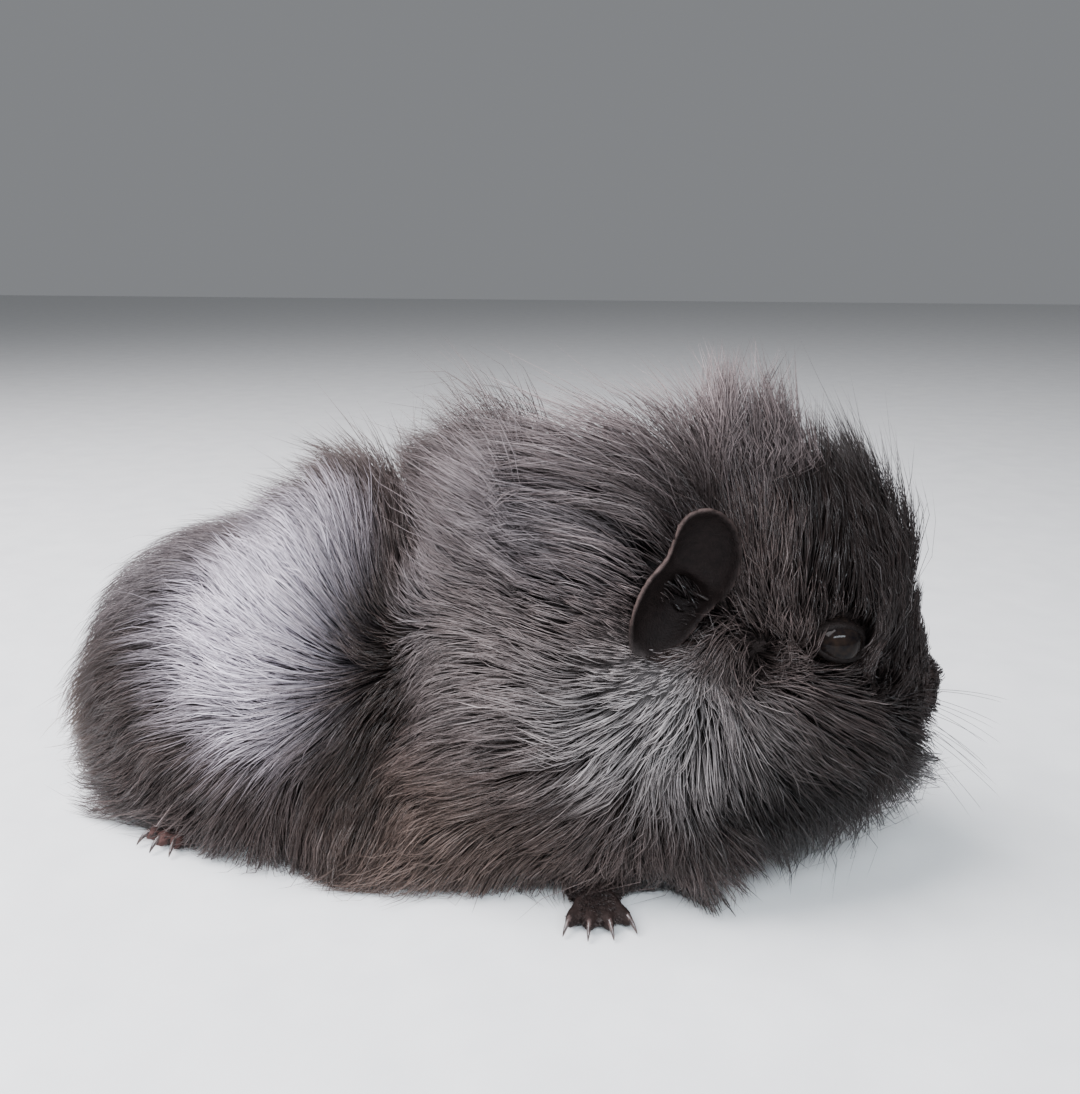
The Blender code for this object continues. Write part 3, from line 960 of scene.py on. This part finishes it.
def gathered(strands, length, kind):
    """Strands drawn together into locks, more towards their tips, and bent a little at random."""
    count, segments = len(strands), kind["segments"]
    guides = random.permutation(count)[: max(1, count // STRANDS_PER_LOCK)]
    tree = KDTree(len(guides))
    for index, guide in enumerate(guides):
        tree.insert(Vector(strands[guide, 0]), index)
    tree.balance()
    owner = guides[[tree.find(Vector(root))[1] for root in strands[:, 0]]]
    share = (np.arange(segments + 1) / segments)[None, :, None]
    pull = (0.15 + 0.65 * random.random(count))[owner] * (0.5 + 0.9 * random.random(count))
    pull = np.clip(kind["gather"] * pull[:, None, None] * share**1.2, 0, 0.93)
    lock_bend = random.normal(0, LOCK_BEND, (count, 3))[owner]
    own_bend = random.normal(0, kind["stray"], (count, 3))
    shaped = strands * (1 - pull) + strands[owner] * pull
    shaped[:, :1] = strands[:, :1]
    bend = (lock_bend + own_bend) * (length * MM)[:, None]
    lock_shade = np.exp(random.normal(0, LOCK_SHADE, count))[owner]
    return shaped + bend[:, None, :] * share**2, lock_shade


def above_floor(strands):
    """Hair that would pass through the floor lies along it instead."""
    lowest = FLOOR_CLEARANCE * MM
    band = FLOOR_BAND * MM
    below = strands[:, :, 2] < lowest + band
    squeezed = lowest + band * np.exp((strands[:, :, 2] - lowest - band) / (FLOOR_SOFTNESS * MM))
    strands[:, :, 2] = np.where(below, squeezed, strands[:, :, 2])
    return strands


# ---------------------------------------------------------------- markings, painted sheen and painted shade

DARK = (0.046, 0.0340, 0.0315)
FOOT_TINT = (0.015, 0.0100, 0.0090)
FOOT_STRENGTH = 0.8
# How much the hairs differ from each other in tone, and the share of them that are pale.
HAIR_VARIETY = 0.18
PALE_SHARE = 0.04
# Where a zone starts to fade and where it ends, as shares of its radii.
ZONE_EDGE = (0.25, 1.2)
# Zones of another colour: centre, radii, colour and strength, on the right side of the body frame.
# Some zones are painted sheen or painted shade, as noted above them.
ZONES = (
    # The haunch: greyer hair under a strong, lilac painted sheen.
    ((-34, -36, 50), (22, 28, 22), (0.560, 0.510, 0.575), 0.95),
    # The next three: lilac painted sheen on the top of the haunch, the rump and the ridge.
    ((-31, -30, 66), (15, 20, 13), (0.220, 0.197, 0.215), 0.75),
    ((-60, -16, 58), (21, 24, 13), (0.100, 0.084, 0.088), 0.8),
    ((1, -32, 66), (14, 18, 18), (0.160, 0.143, 0.150), 0.75),
    ((2, -40, 16), (36, 24, 22), (0.084, 0.059, 0.049), 0.85),
    ((22, -34, 48), (24, 18, 15), (0.125, 0.104, 0.101), 0.8),
    # Painted sheen on the hanging hair of the lower cheek.
    ((43, -34, 42), (17, 18, 15), (0.235, 0.214, 0.211), 0.9),
    ((-88, -18, 24), (18, 24, 20), (0.170, 0.118, 0.092), 0.8),
    # Lilac painted sheen on the top of the shoulders.
    ((22, -26, 74), (30, 20, 18), (0.155, 0.134, 0.139), 0.8),
    ((53, -14, 76), (17, 22, 13), (0.200, 0.160, 0.160), 0.9),
    ((-17, -28, 83), (12, 26, 15), (0.052, 0.036, 0.030), 0.9),
    # The next two: painted shade in the hollow behind the ridge.
    ((-11, -38, 48), (12, 20, 20), (0.018, 0.012, 0.010), 0.95),
    ((-15, -40, 31), (12, 18, 15), (0.024, 0.016, 0.013), 0.85),
    ((90, -10, 54), (25, 26, 36), (0.012, 0.0082, 0.0075), 0.97),
    ((77, -16, 66), (19, 26, 21), (0.008, 0.0055, 0.0050), 0.97),
    ((80, -24, 32), (20, 22, 18), (0.012, 0.0082, 0.0075), 0.93),
    ((60, -29, 27), (23, 24, 22), (0.006, 0.0043, 0.0040), 0.97),
    ((97, -6, 40), (12, 16, 15), (0.030, 0.0215, 0.0200), 0.8),
    # Painted shade in the pocket where the ear's opening meets the temple.
    ((50, -26, 61), (7, 10, 7), (0.006, 0.0040, 0.0040), 0.9),
)


def tinted(colour, share, tint):
    """Colours moved towards a tint, each point by its own share."""
    return colour + share[:, None] * (np.array(tint) - colour)


def markings_and_painted_light(points):
    """The colour of skin and coat at places on the body: the same on both sides of the midline.

    Some zones are painted sheen or painted shade rather than the coat's own tone.
    """
    folded = in_frame(points, BODY)
    parting = middle_line(folded[:, 0])
    folded[:, 1] = parting - np.abs(folded[:, 1] - parting)
    colour = np.tile(np.array(DARK), (len(points), 1))
    for centre, radii, tint, strength in ZONES:
        gap = (folded - np.array(centre)) / np.array(radii)
        share = strength * (1 - smoothstep(np.sqrt((gap**2).sum(axis=1)), *ZONE_EDGE))
        colour = tinted(colour, share, tint)
    for name in FEET:
        colour = tinted(colour, FOOT_STRENGTH * near_foot(points, name), FOOT_TINT)
    return colour


def strand_colours(roots, segments):
    """A colour for each ring of each strand: painted shade at the root, each hair a little different."""
    count = len(roots)
    colour = markings_and_painted_light(roots)
    colour *= np.exp(random.normal(0, HAIR_VARIETY, count))[:, None]
    pale = random.random(count) < PALE_SHARE
    colour[pale] = colour[pale] * 1.5 + 0.03
    share = np.arange(segments + 1) / segments
    # Painted shade: the root half as bright, for the coat's shadow over it; the tips a little paler.
    fade = 0.5 + 0.62 * smoothstep(share, 0.0, 0.75)
    return colour[:, None, :] * fade[None, :, None]


# ---------------------------------------------------------------- strands as closed mesh

# A strand swells up to this share of its length and thins from there to its tip.
TAPER_START = 0.35
# A strand's section is a little wider than it is thick.
SECTION = (1.15, 0.8)
# The side of a strand's patch on the bake map.
PATCH = 0.003
# The axis that the body's sheet is rolled round, across and up in the body's frame.
SHEET_AXIS = (-6, 34)


def strand_rings(points, normals, width):
    """Three corners round every point of a strand but the last, which is its tip."""
    count, rings = points.shape[0], points.shape[1] - 1
    along = unit(np.gradient(points, axis=1))
    across = unit(np.cross(along, normals[:, None, :]))
    above = np.cross(across, along)
    share = np.arange(rings) / rings
    swelling = 0.75 + 0.25 * share / TAPER_START
    taper = np.where(share < TAPER_START, swelling, 1 - 0.72 * (share - TAPER_START))
    radius = width[:, None] / 2 * taper[None, :] * MM
    wide, thick = SECTION
    corners = []
    for angle in (math.radians(90), math.radians(210), math.radians(330)):
        offset = across * math.cos(angle) * wide + above * math.sin(angle) * thick
        corners.append(points[:, :-1] + offset[:, :-1] * radius[:, :, None])
    return np.stack(corners, axis=2).reshape(count, rings * 3, 3)


def strand_faces(rings):
    """The loops and face sizes of one strand."""
    loops = [0, 2, 1]
    sizes = [3]
    for ring in range(rings - 1):
        for corner in range(3):
            after = (corner + 1) % 3
            low, high = ring * 3, ring * 3 + 3
            loops += [low + corner, low + after, high + after, high + corner]
            sizes.append(4)
    tip = rings * 3
    for corner in range(3):
        loops += [tip - 3 + corner, tip - 3 + (corner + 1) % 3, tip]
        sizes.append(3)
    return np.array(loops), np.array(sizes)


def unwrap(roots):
    """The roots' places on a sheet rolled round the length of the body, filling the map."""
    local = in_frame(roots, BODY)
    across, up = SHEET_AXIS
    around = np.arctan2(local[:, 1] - across, local[:, 2] - up)
    sheet = np.stack([local[:, 0], around], axis=1)
    low, high = sheet.min(axis=0), sheet.max(axis=0)
    return PATCH + (sheet - low) / (high - low) * (1 - 2 * PATCH)


def strand_mesh(name, batches):
    """One mesh from batches of strands that have the same number of points."""
    places, loops, sizes, colours, maps = [], [], [], [], []
    first = 0
    sheet = unwrap(np.concatenate([batch["points"][:, 0] for batch in batches]))
    done = 0
    for batch in batches:
        points = batch["points"]
        count, rings = points.shape[0], points.shape[1] - 1
        corners = strand_rings(points, batch["normals"], batch["width"])
        body = np.concatenate([corners, points[:, -1:]], axis=1)
        per_strand = rings * 3 + 1
        pattern, pattern_sizes = strand_faces(rings)
        starts = first + np.arange(count) * per_strand
        loops.append((starts[:, None] + pattern[None, :]).ravel())
        sizes.append(np.tile(pattern_sizes, count))
        ring_of = np.append(np.repeat(np.arange(rings), 3), rings)
        colours.append(batch["colours"][:, ring_of].reshape(-1, 3))
        corner_of = np.append(np.tile(np.arange(3), rings), 1)
        patch = np.stack([corner_of / 2 - 0.5, ring_of / rings - 0.5], axis=1) * PATCH
        spots = sheet[done : done + count][:, None, :] + patch[None]
        maps.append(spots[:, pattern].reshape(-1, 2))
        places.append(body.reshape(-1, 3))
        first += count * per_strand
        done += count
    return numpy_mesh(name, *(np.concatenate(part) for part in (places, loops, sizes, colours, maps)))


def numpy_mesh(name, places, loops, sizes, colours, spots):
    mesh = bpy.data.meshes.new(name)
    mesh.vertices.add(len(places))
    mesh.vertices.foreach_set("co", places.ravel())
    mesh.loops.add(len(loops))
    mesh.loops.foreach_set("vertex_index", loops)
    mesh.polygons.add(len(sizes))
    mesh.polygons.foreach_set("loop_start", np.concatenate([[0], np.cumsum(sizes)[:-1]]))
    mesh.polygons.foreach_set("use_smooth", np.ones(len(sizes), bool))
    mesh.update(calc_edges=True)
    uv_map = mesh.uv_layers.new(name="OFBake")
    uv_map.data.foreach_set("uv", spots.ravel())
    paint_vertices(mesh, colours)
    return mesh


def paint_vertices(mesh, colours):
    layer = mesh.color_attributes.new("marking_and_painted_light", "FLOAT_COLOR", "POINT")
    opaque = np.concatenate([colours, np.ones((len(colours), 1))], axis=1)
    layer.data.foreach_set("color", opaque.ravel())


# The coat's pieces: lengths of the body from tail to nose, each parted down the midline.
COAT_STATIONS = (("rump", -52), ("hip", -30), ("flank", -8), ("shoulder", 14), ("neck", 38), ("cheek", 58))


def coat_piece_of(roots):
    """The name of the piece that each root belongs to."""
    local = in_frame(roots, BODY)
    names = np.full(len(roots), "face", dtype="U16")
    for name, station in reversed(COAT_STATIONS):
        names[local[:, 0] < station] = name
    sides = np.where(local[:, 1] < middle_line(local[:, 0]), "_right", "_left")
    return np.char.add(names, sides)


def roots_of(fields, wanted, kind):
    """The roots of one kind of hair on the chosen faces."""
    roots = sample_roots(fields, kind["count"], wanted)
    return roots[~bare_places(roots)]


def coat_batch(fields, skin_tree, roots, kind):
    """Strands of one kind, ready for their meshes."""
    segments = kind["segments"]
    strands, length = grow(fields, skin_tree, roots, kind)
    strands, lock_shade = gathered(strands, length, kind)
    crossing = crosses_ear(strands) | crosses_eye(strands)
    strands[crossing] = strands[crossing, :1] + TRIMMED * (strands[crossing] - strands[crossing, :1])
    clear = ~(crosses_ear(strands) | crosses_eye(strands) | leaves_box(strands))
    strands, lock_shade, roots = strands[clear], lock_shade[clear], roots[clear]
    strands = above_floor(strands)
    _, normals, depth, _, _, _ = fields.look_up(roots)
    fanned = 1 + FANNED_WIDER * smoothstep(depth, *FANNED)
    return {
        "points": strands,
        "normals": normals,
        "width": kind["width"] * (0.75 + 0.5 * random.random(len(strands))) * fanned,
        "colours": strand_colours(roots, segments) * kind["shade"] * lock_shade[:, None, None],
        "names": coat_piece_of(roots),
    }


def leaves_box(strands):
    """Strands that would reach far beyond the sides or the top of the solids' box."""
    low, high = np.array(cad_box) + np.array(((-1,), (1,))) * BOX_ALLOWANCE * MM
    low[2] = -np.inf
    return ((strands < low) | (strands > high)).any(axis=(1, 2))


def crosses_eye(strands):
    """Strands that would hang over the opening between the lids."""
    hidden = np.zeros(len(strands), bool)
    for side in SIDES.values():
        local = in_frame(strands.reshape(-1, 3), HEAD).reshape(strands.shape)[:, 1:]
        gap = local - np.array((0, EYE_SIDE * side, 0))
        outward = gap[:, :, 1] * side
        across = np.hypot(gap[:, :, 0] / OPENING[0], gap[:, :, 2] / OPENING[1])
        hidden |= ((across < 1) & (outward > 0) & (outward < EYE_FRONT)).any(axis=1)
    return hidden


def crosses_ear(strands):
    """Strands that would pass through an ear or cover its cup, but for a few over the canal."""
    hidden = np.zeros(len(strands), bool)
    may_cross = np.arange(len(strands)) % CANAL_HAIR_EVERY == 0
    for side in SIDES.values():
        local = in_frame(strands.reshape(-1, 3), ear_frame(side)).reshape(strands.shape)
        local = local[:, 1:]
        share = ear_share(local.reshape(-1, 3)).reshape(local.shape[:2])
        cup = -EAR_CUP * (1 - share**2) - 1.0
        outward = local[:, :, 1] * side
        inside = (share < 0.9) & (outward > cup) & (outward < EAR_FRONT)
        over_canal = (local[:, :, 0] > 0.5) & (local[:, :, 2] < -0.5)
        inside &= ~(over_canal & may_cross[:, None])
        hidden |= inside.any(axis=1)
    return hidden


def make_coat(material, skin):
    """The coat's pieces, each one mesh of closed strands of several kinds."""
    fields = Fields()
    skin_tree = mesh_tree(skin.data)
    short = fields.depth[fields.triangles].mean(axis=1) < SHORT_BELOW
    top_roots = roots_of(fields, ~short, TOP_HAIR)
    long_here = fields.look_up(top_roots)[2] > LONG_ABOVE
    batches = (
        coat_batch(fields, skin_tree, top_roots[~long_here], TOP_HAIR),
        coat_batch(fields, skin_tree, top_roots[long_here], LONG_HAIR),
        coat_batch(fields, skin_tree, roots_of(fields, ~short, UNDER_HAIR), UNDER_HAIR),
        coat_batch(fields, skin_tree, roots_of(fields, short, FACE_HAIR), FACE_HAIR),
        coat_batch(fields, skin_tree, roots_of(fields, ~short, STRAY_HAIR), STRAY_HAIR),
    )
    names = sorted(set(np.concatenate([batch["names"] for batch in batches])))
    for name in names:
        parts = []
        for batch in batches:
            own = batch["names"] == name
            if own.any():
                parts.append({key: value[own] for key, value in batch.items() if key != "names"})
        piece = add_object(f"coat_{name}", strand_mesh(f"coat_{name}", parts), material)
        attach(piece, "root")


# ---------------------------------------------------------------- materials


def new_material(name):
    material = bpy.data.materials.new(name)
    material.use_nodes = True
    return material, material.node_tree.nodes, material.node_tree.links


def add_noise(nodes, links, scale, detail=4.0, roughness=0.55):
    """A noise in the object's own space, counted in waves for each metre."""
    coordinates = nodes.new("ShaderNodeTexCoord")
    noise = nodes.new("ShaderNodeTexNoise")
    noise.inputs["Scale"].default_value = scale
    noise.inputs["Detail"].default_value = detail
    noise.inputs["Roughness"].default_value = roughness
    links.new(coordinates.outputs["Object"], noise.inputs["Vector"])
    return noise.outputs["Fac"]


def add_ramp(nodes, links, value, stops):
    ramp = nodes.new("ShaderNodeValToRGB")
    elements = ramp.color_ramp.elements
    while len(elements) < len(stops):
        elements.new(0.5)
    for element, (position, colour) in zip(elements, stops):
        element.position = position
        element.color = (*colour, 1)
    links.new(value, ramp.inputs["Fac"])
    return ramp.outputs["Color"]


def add_mix(nodes, links, kind, first, second, factor=1.0):
    mix = nodes.new("ShaderNodeMix")
    mix.data_type = "RGBA"
    mix.blend_type = kind
    mix.inputs["Factor"].default_value = factor
    links.new(first, mix.inputs["A"])
    links.new(second, mix.inputs["B"])
    return mix.outputs["Result"]


def add_bump(nodes, links, height, distance, strength=1.0):
    bump = nodes.new("ShaderNodeBump")
    bump.inputs["Distance"].default_value = distance
    bump.inputs["Strength"].default_value = strength
    links.new(height, bump.inputs["Height"])
    return bump.outputs["Normal"]


def marking_and_painted_light_material(name, look):
    """The vertex colours of the markings, painted sheen and painted shade, broken up by a fine noise."""
    grain, low, high, roughness, bump_scale, bump_depth, specular = look
    material, nodes, links = new_material(name)
    shader = nodes["Principled BSDF"]
    paint = nodes.new("ShaderNodeAttribute")
    paint.attribute_name = "marking_and_painted_light"
    noise = add_noise(nodes, links, grain)
    shade = add_ramp(nodes, links, noise, ((0.3, (low,) * 3), (0.7, (high,) * 3)))
    colour = add_mix(nodes, links, "MULTIPLY", paint.outputs["Color"], shade)
    links.new(colour, shader.inputs["Base Color"])
    relief = add_noise(nodes, links, bump_scale, 3.0)
    links.new(add_bump(nodes, links, relief, bump_depth), shader.inputs["Normal"])
    shader.inputs["Roughness"].default_value = roughness
    shader.inputs["Specular IOR Level"].default_value = specular
    return material


# For each: the grain's scale, its darkest and lightest shade, the roughness, the scale and depth in
# metres of the bumps, and the specular level.
COAT_LOOK = (900, 0.75, 1.3, 0.33, 5200, 0.00002, 0.24)
SKIN_LOOK = (700, 0.7, 1.35, 0.55, 2600, 0.00022, 0.06)


def noise_material(name, scale, detail, stops, roughness):
    """A colour that runs between its stops with a noise; also gives the shader and the noise."""
    material, nodes, links = new_material(name)
    shader = nodes["Principled BSDF"]
    noise = add_noise(nodes, links, scale, detail)
    links.new(add_ramp(nodes, links, noise, stops), shader.inputs["Base Color"])
    shader.inputs["Roughness"].default_value = roughness
    return material, shader, noise


def eye_material():
    """A wet eye, black with very dark brown clouds."""
    stops = ((0.35, (0.003, 0.0026, 0.003)), (0.75, (0.012, 0.008, 0.006)))
    material, shader, _ = noise_material("eye", 800, 5.0, stops, 0.05)
    shader.inputs["IOR"].default_value = 1.15
    return material


def claw_material():
    """Dark, clouded horn with a soft polish."""
    stops = ((0.35, (0.020, 0.013, 0.012)), (0.7, (0.085, 0.060, 0.055)))
    material, shader, noise = noise_material("claw", 1500, 3.0, stops, 0.26)
    nodes, links = material.node_tree.nodes, material.node_tree.links
    links.new(add_bump(nodes, links, noise, 0.00004), shader.inputs["Normal"])
    return material


def whisker_material():
    stops = ((0.3, (0.012, 0.010, 0.010)), (0.7, (0.045, 0.038, 0.036)))
    return noise_material("whisker", 400, 2.0, stops, 0.3)[0]


def floor_material():
    stops = ((0.3, (0.64, 0.64, 0.64)), (0.7, (0.70, 0.70, 0.695)))
    return noise_material("floor", 60, 4.0, stops, 0.7)[0]


# ---------------------------------------------------------------- skin, eyes, claws and whiskers

NOSE_TINT = (0.020, 0.014, 0.013)
EAR_TINT = (0.0060, 0.0040, 0.0037)
# The ear's rim: a warmer tone and a painted highlight.
EAR_RIM_TINT_AND_HIGHLIGHT = (0.050, 0.035, 0.032)
LID_TINT = (0.005, 0.0036, 0.0033)
HIND_TOE_TINT = (0.070, 0.037, 0.033)
# The skin under the coat is this share as bright as the coat: dark skin, with painted shade from the coat.
SKIN_SHADE_UNDER_COAT = 0.3
# Half the width and height of an ear, the depths between which its canal takes painted shade, and how
# much.
EAR_EXTENT = (9.5, 15)
CANAL_FROM = (-8.5, -5.5)
CANAL_PAINTED_SHADE = 0.85
# Between these distances from an eye's middle the lids' tone ends.
LID_EDGE = (6.2, 7.5)


def with_ear(colour, points, side):
    """Colours with the ear's own tone, its pale rim, partly a painted highlight, and painted shade in its
    canal.
    """
    ear = in_frame(points, ear_frame(side))
    outward = ear[:, 1] * side
    reach = np.hypot(ear[:, 0] / EAR_EXTENT[0], ear[:, 2] / EAR_EXTENT[1])
    share = (1 - smoothstep(reach, 1.0, 1.2)) * smoothstep(outward, -22, -18)
    colour = tinted(colour, share, EAR_TINT)
    # Painted shade down in the canal.
    canal = share * (1 - smoothstep(outward, *CANAL_FROM))
    colour = colour * (1 - CANAL_PAINTED_SHADE * canal[:, None])
    # The rim's warm tone, with a painted highlight on it.
    rim = share * smoothstep(ear_share(ear), 0.95, 1.03) * smoothstep(outward, -5, -2.5)
    return tinted(colour, rim, EAR_RIM_TINT_AND_HIGHLIGHT)


def skin_colours(points):
    """The coat's colours, darker for dark skin and painted shade under the coat, with painted shade in the
    grooves and the ears' canals, a painted highlight on the ears' rims, and the ears, lids, nose and feet
    in their own tones.
    """
    colour = markings_and_painted_light(points) * SKIN_SHADE_UNDER_COAT
    local = in_frame(points, HEAD)
    colour = tinted(colour, near_nose(points), NOSE_TINT)
    # Painted shade in the nostrils, the cleft under the nose and the line of the mouth, darker where
    # deeper.
    colour *= 1 - 0.3 * np.minimum(groove_depth(local), 3)[:, None]
    for side in SIDES.values():
        colour = with_ear(colour, points, side)
        from_eye = np.linalg.norm(local - np.array((0, EYE_SIDE * side, 0)), axis=1)
        colour = tinted(colour, 1 - smoothstep(from_eye, *LID_EDGE), LID_TINT)
    for name in FEET:
        tint = FOOT_TINT if name.startswith("fore") else HIND_TOE_TINT
        colour = tinted(colour, near_foot(points, name, FOOT_SKIN), tint)
    return colour


def flesh_nodes():
    return [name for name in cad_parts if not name.startswith(("eye", "foreclaw", "hind_claw"))]


def flattened_soles(mesh):
    """Whatever would reach below the floor lies flat on it."""
    places = vertex_array(mesh)
    places[:, 2] = np.maximum(places[:, 2], 0.0)
    mesh.vertices.foreach_set("co", places.ravel())
    mesh.update()


def make_skin(material):
    mesh = skin_mesh()
    press_grooves(mesh)
    flattened_soles(mesh)
    mesh.shade_smooth()
    paint_vertices(mesh, skin_colours(vertex_array(mesh)))
    skin = add_object("skin", mesh, material)
    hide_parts(*flesh_nodes())
    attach(skin, "root")
    return skin


# The eye's front, beyond this share of its radius, is drawn out by this share.
CORNEA_FROM = 0.55
CORNEA_BULGE = 0.045


def make_eye(side_name, material):
    """An eyeball whose front bulges a little."""
    side = SIDES[side_name]
    shape = bmesh.new()
    bmesh.ops.create_uvsphere(shape, u_segments=64, v_segments=40, radius=1)
    for vertex in shape.verts:
        bulge = 1 + CORNEA_BULGE * smoothstep(vertex.co.z, CORNEA_FROM, 1.0)
        vertex.co *= EYE_RADIUS * bulge
    outward = Matrix.Rotation(math.radians(-90 * side), 4, "X")
    matrix = Matrix.Scale(MM, 4) @ HEAD @ Matrix.Translation((0, EYE_SIDE * side, 0)) @ outward
    bmesh.ops.transform(shape, matrix=matrix, verts=shape.verts)
    mesh = mesh_from(shape, f"eyeball_{side_name}")
    mesh.shade_smooth()
    eye = add_object(f"eyeball_{side_name}", mesh, material)
    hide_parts(f"eye_{side_name}")
    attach(eye, "root")


# Where a claw leaves the last joint of its toe, along and up, and its slope at root and tip.
CLAW_ROOT = (2.2, 2.8)
CLAW_SLOPES = (12, 56)
CLAW_LENGTH = 4.2
CLAW_RADIUS = 0.85
CLAW_RINGS = 12
CLAW_CORNERS = 14


def claw_section(radius):
    """The outline across a claw, as places up and across: a rounded back over a flatter underside."""
    section = []
    for corner in range(CLAW_CORNERS):
        angle = 2 * math.pi * corner / CLAW_CORNERS
        lift = math.cos(angle) if math.cos(angle) > -0.3 else -0.3 + 0.25 * (math.cos(angle) + 1)
        section.append((radius * lift, radius * 0.72 * math.sin(angle)))
    return section


def make_claw(name, heading, number, material):
    """A claw that curves down and narrows to its tip."""
    x, z = CLAW_ROOT
    first_slope, last_slope = CLAW_SLOPES
    matrix = Matrix.Scale(MM, 4) @ toe_frame(name, heading)
    shape = bmesh.new()
    layers = []
    point = Vector((x, 0, z))
    for ring in range(CLAW_RINGS):
        share = ring / CLAW_RINGS
        slope = math.radians(first_slope + (last_slope - first_slope) * share)
        along = Vector((math.cos(slope), 0, -math.sin(slope)))
        above = Vector((math.sin(slope), 0, math.cos(slope)))
        layer = []
        for lift, across in claw_section(CLAW_RADIUS * (1 - share) ** 0.62):
            layer.append(shape.verts.new(matrix @ (point + above * lift + Vector((0, across, 0)))))
        layers.append(layer)
        point = point + along * CLAW_LENGTH / CLAW_RINGS
    tip = shape.verts.new(matrix @ point)
    for corner in range(CLAW_CORNERS):
        after = (corner + 1) % CLAW_CORNERS
        for rear, front in zip(layers, layers[1:]):
            shape.faces.new((rear[corner], front[corner], front[after], rear[after]))
        shape.faces.new((layers[-1][corner], tip, layers[-1][after]))
    shape.faces.new(layers[0])
    bmesh.ops.recalc_face_normals(shape, faces=shape.faces[:])
    node = name.replace("foot", "claw") + f"_{number}"
    mesh = mesh_from(shape, f"horn_{node}")
    mesh.shade_smooth()
    claw = add_object(f"horn_{node}", mesh, material)
    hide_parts(node)
    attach(claw, "root")


# The whiskers' first root in the head's frame, and the steps from root to root and row to row.
WHISKER_FIRST = (16.5, 8.2, -12.2)
WHISKER_STEP = 2.1
WHISKER_STEP_INWARDS = 0.75
WHISKER_ROWS = 4
WHISKERS_IN_ROW = 4
WHISKER_LENGTH = 25
WHISKER_STEPS = 8
WHISKER_WIDTH = 0.14
WHISKER_DROOP = (-1.5, 0, -3.2)


def whisker_strands(side):
    """Curved whiskers in rows on the side of the muzzle, which point more forward along a row."""
    x, y, z = WHISKER_FIRST
    strands = []
    for row in range(WHISKER_ROWS):
        for place in range(WHISKERS_IN_ROW):
            across = side * (y - WHISKER_STEP_INWARDS * place)
            root = Vector((x + WHISKER_STEP * place, across, z - WHISKER_STEP * row))
            spread = math.radians(62 - 12 * place + random.normal(0, 7))
            lift = math.radians(12 - 11 * row + random.normal(0, 6))
            length = WHISKER_LENGTH - 2.2 * place + random.normal(0, 2)
            way = Vector((math.cos(spread), side * math.sin(spread), math.sin(lift))).normalized()
            points = []
            for step in range(WHISKER_STEPS + 1):
                share = step / WHISKER_STEPS
                sunk = 1.5 if step == 0 else 0
                droop = Vector(WHISKER_DROOP) * share**2
                points.append(root + way * (length * share - sunk) + droop)
            strands.append(out_of_frame(np.array([tuple(point) for point in points]), HEAD))
    return np.array(strands)


def make_whiskers(side_name, material):
    side = SIDES[side_name]
    points = whisker_strands(side)
    count = len(points)
    batch = {
        "points": points,
        "normals": np.tile(np.array((0.0, 0.0, 1.0)), (count, 1)),
        "width": np.full(count, WHISKER_WIDTH),
        "colours": np.full((count, points.shape[1], 3), 0.02),
    }
    name = f"whiskers_{side_name}"
    piece = add_object(name, strand_mesh(name, [batch]), material)
    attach(piece, "root")


# ---------------------------------------------------------------- camera, light and floor

CAMERA_AT = (60.5, -211.3, 122.0)
CAMERA_TURN = (74.5, 0, 13.0)
LENS = 34.2


def make_camera():
    camera = bpy.data.cameras.new("camera")
    camera.lens = LENS
    camera.clip_start = 0.01
    view = bpy.data.objects.new("camera", camera)
    view.location = (BODY @ Vector(CAMERA_AT)) * MM
    view.rotation_euler = [math.radians(angle) for angle in CAMERA_TURN]
    bpy.context.collection.objects.link(view)
    bpy.context.scene.camera = view


def make_light(name, place, size, power, colour=(1, 1, 1)):
    light = bpy.data.lights.new(name, "AREA")
    light.shape = "RECTANGLE"
    light.size, light.size_y = size
    light.energy = power
    light.color = colour
    lamp = bpy.data.objects.new(name, light)
    lamp.location = place
    aim = Vector((0, 0, 0.04)) - Vector(place)
    lamp.rotation_euler = aim.to_track_quat("-Z", "Y").to_euler()
    bpy.context.collection.objects.link(lamp)


def make_studio():
    shape = bmesh.new()
    bmesh.ops.create_grid(shape, x_segments=2, y_segments=2, size=3.0)
    floor = add_object("floor", mesh_from(shape, "floor"), floor_material())
    make_light("overhead", (-0.38, -0.20, 0.68), (0.6, 0.6), 22.0, (0.98, 0.96, 1.0))
    make_light("window", (0.20, -0.62, 0.58), (0.8, 0.11), 14.0, (0.84, 0.92, 1.0))
    world = bpy.data.worlds.new("studio")
    world.use_nodes = True
    world.node_tree.nodes["Background"].inputs["Color"].default_value = (0.92, 0.95, 1.0, 1)
    world.node_tree.nodes["Background"].inputs["Strength"].default_value = 0.25
    bpy.context.scene.world = world


# ---------------------------------------------------------------- the animal

make_camera()
make_studio()
skin = make_skin(marking_and_painted_light_material("skin", SKIN_LOOK))
wet = eye_material()
hair = whisker_material()
for side_name in SIDES:
    make_eye(side_name, wet)
    make_whiskers(side_name, hair)
horn = claw_material()
for foot in FEET:
    _, _, toe_headings = foot_plan(foot)
    for number, heading in enumerate(toe_headings, 1):
        make_claw(foot, heading, number, horn)
make_coat(marking_and_painted_light_material("coat", COAT_LOOK), skin)
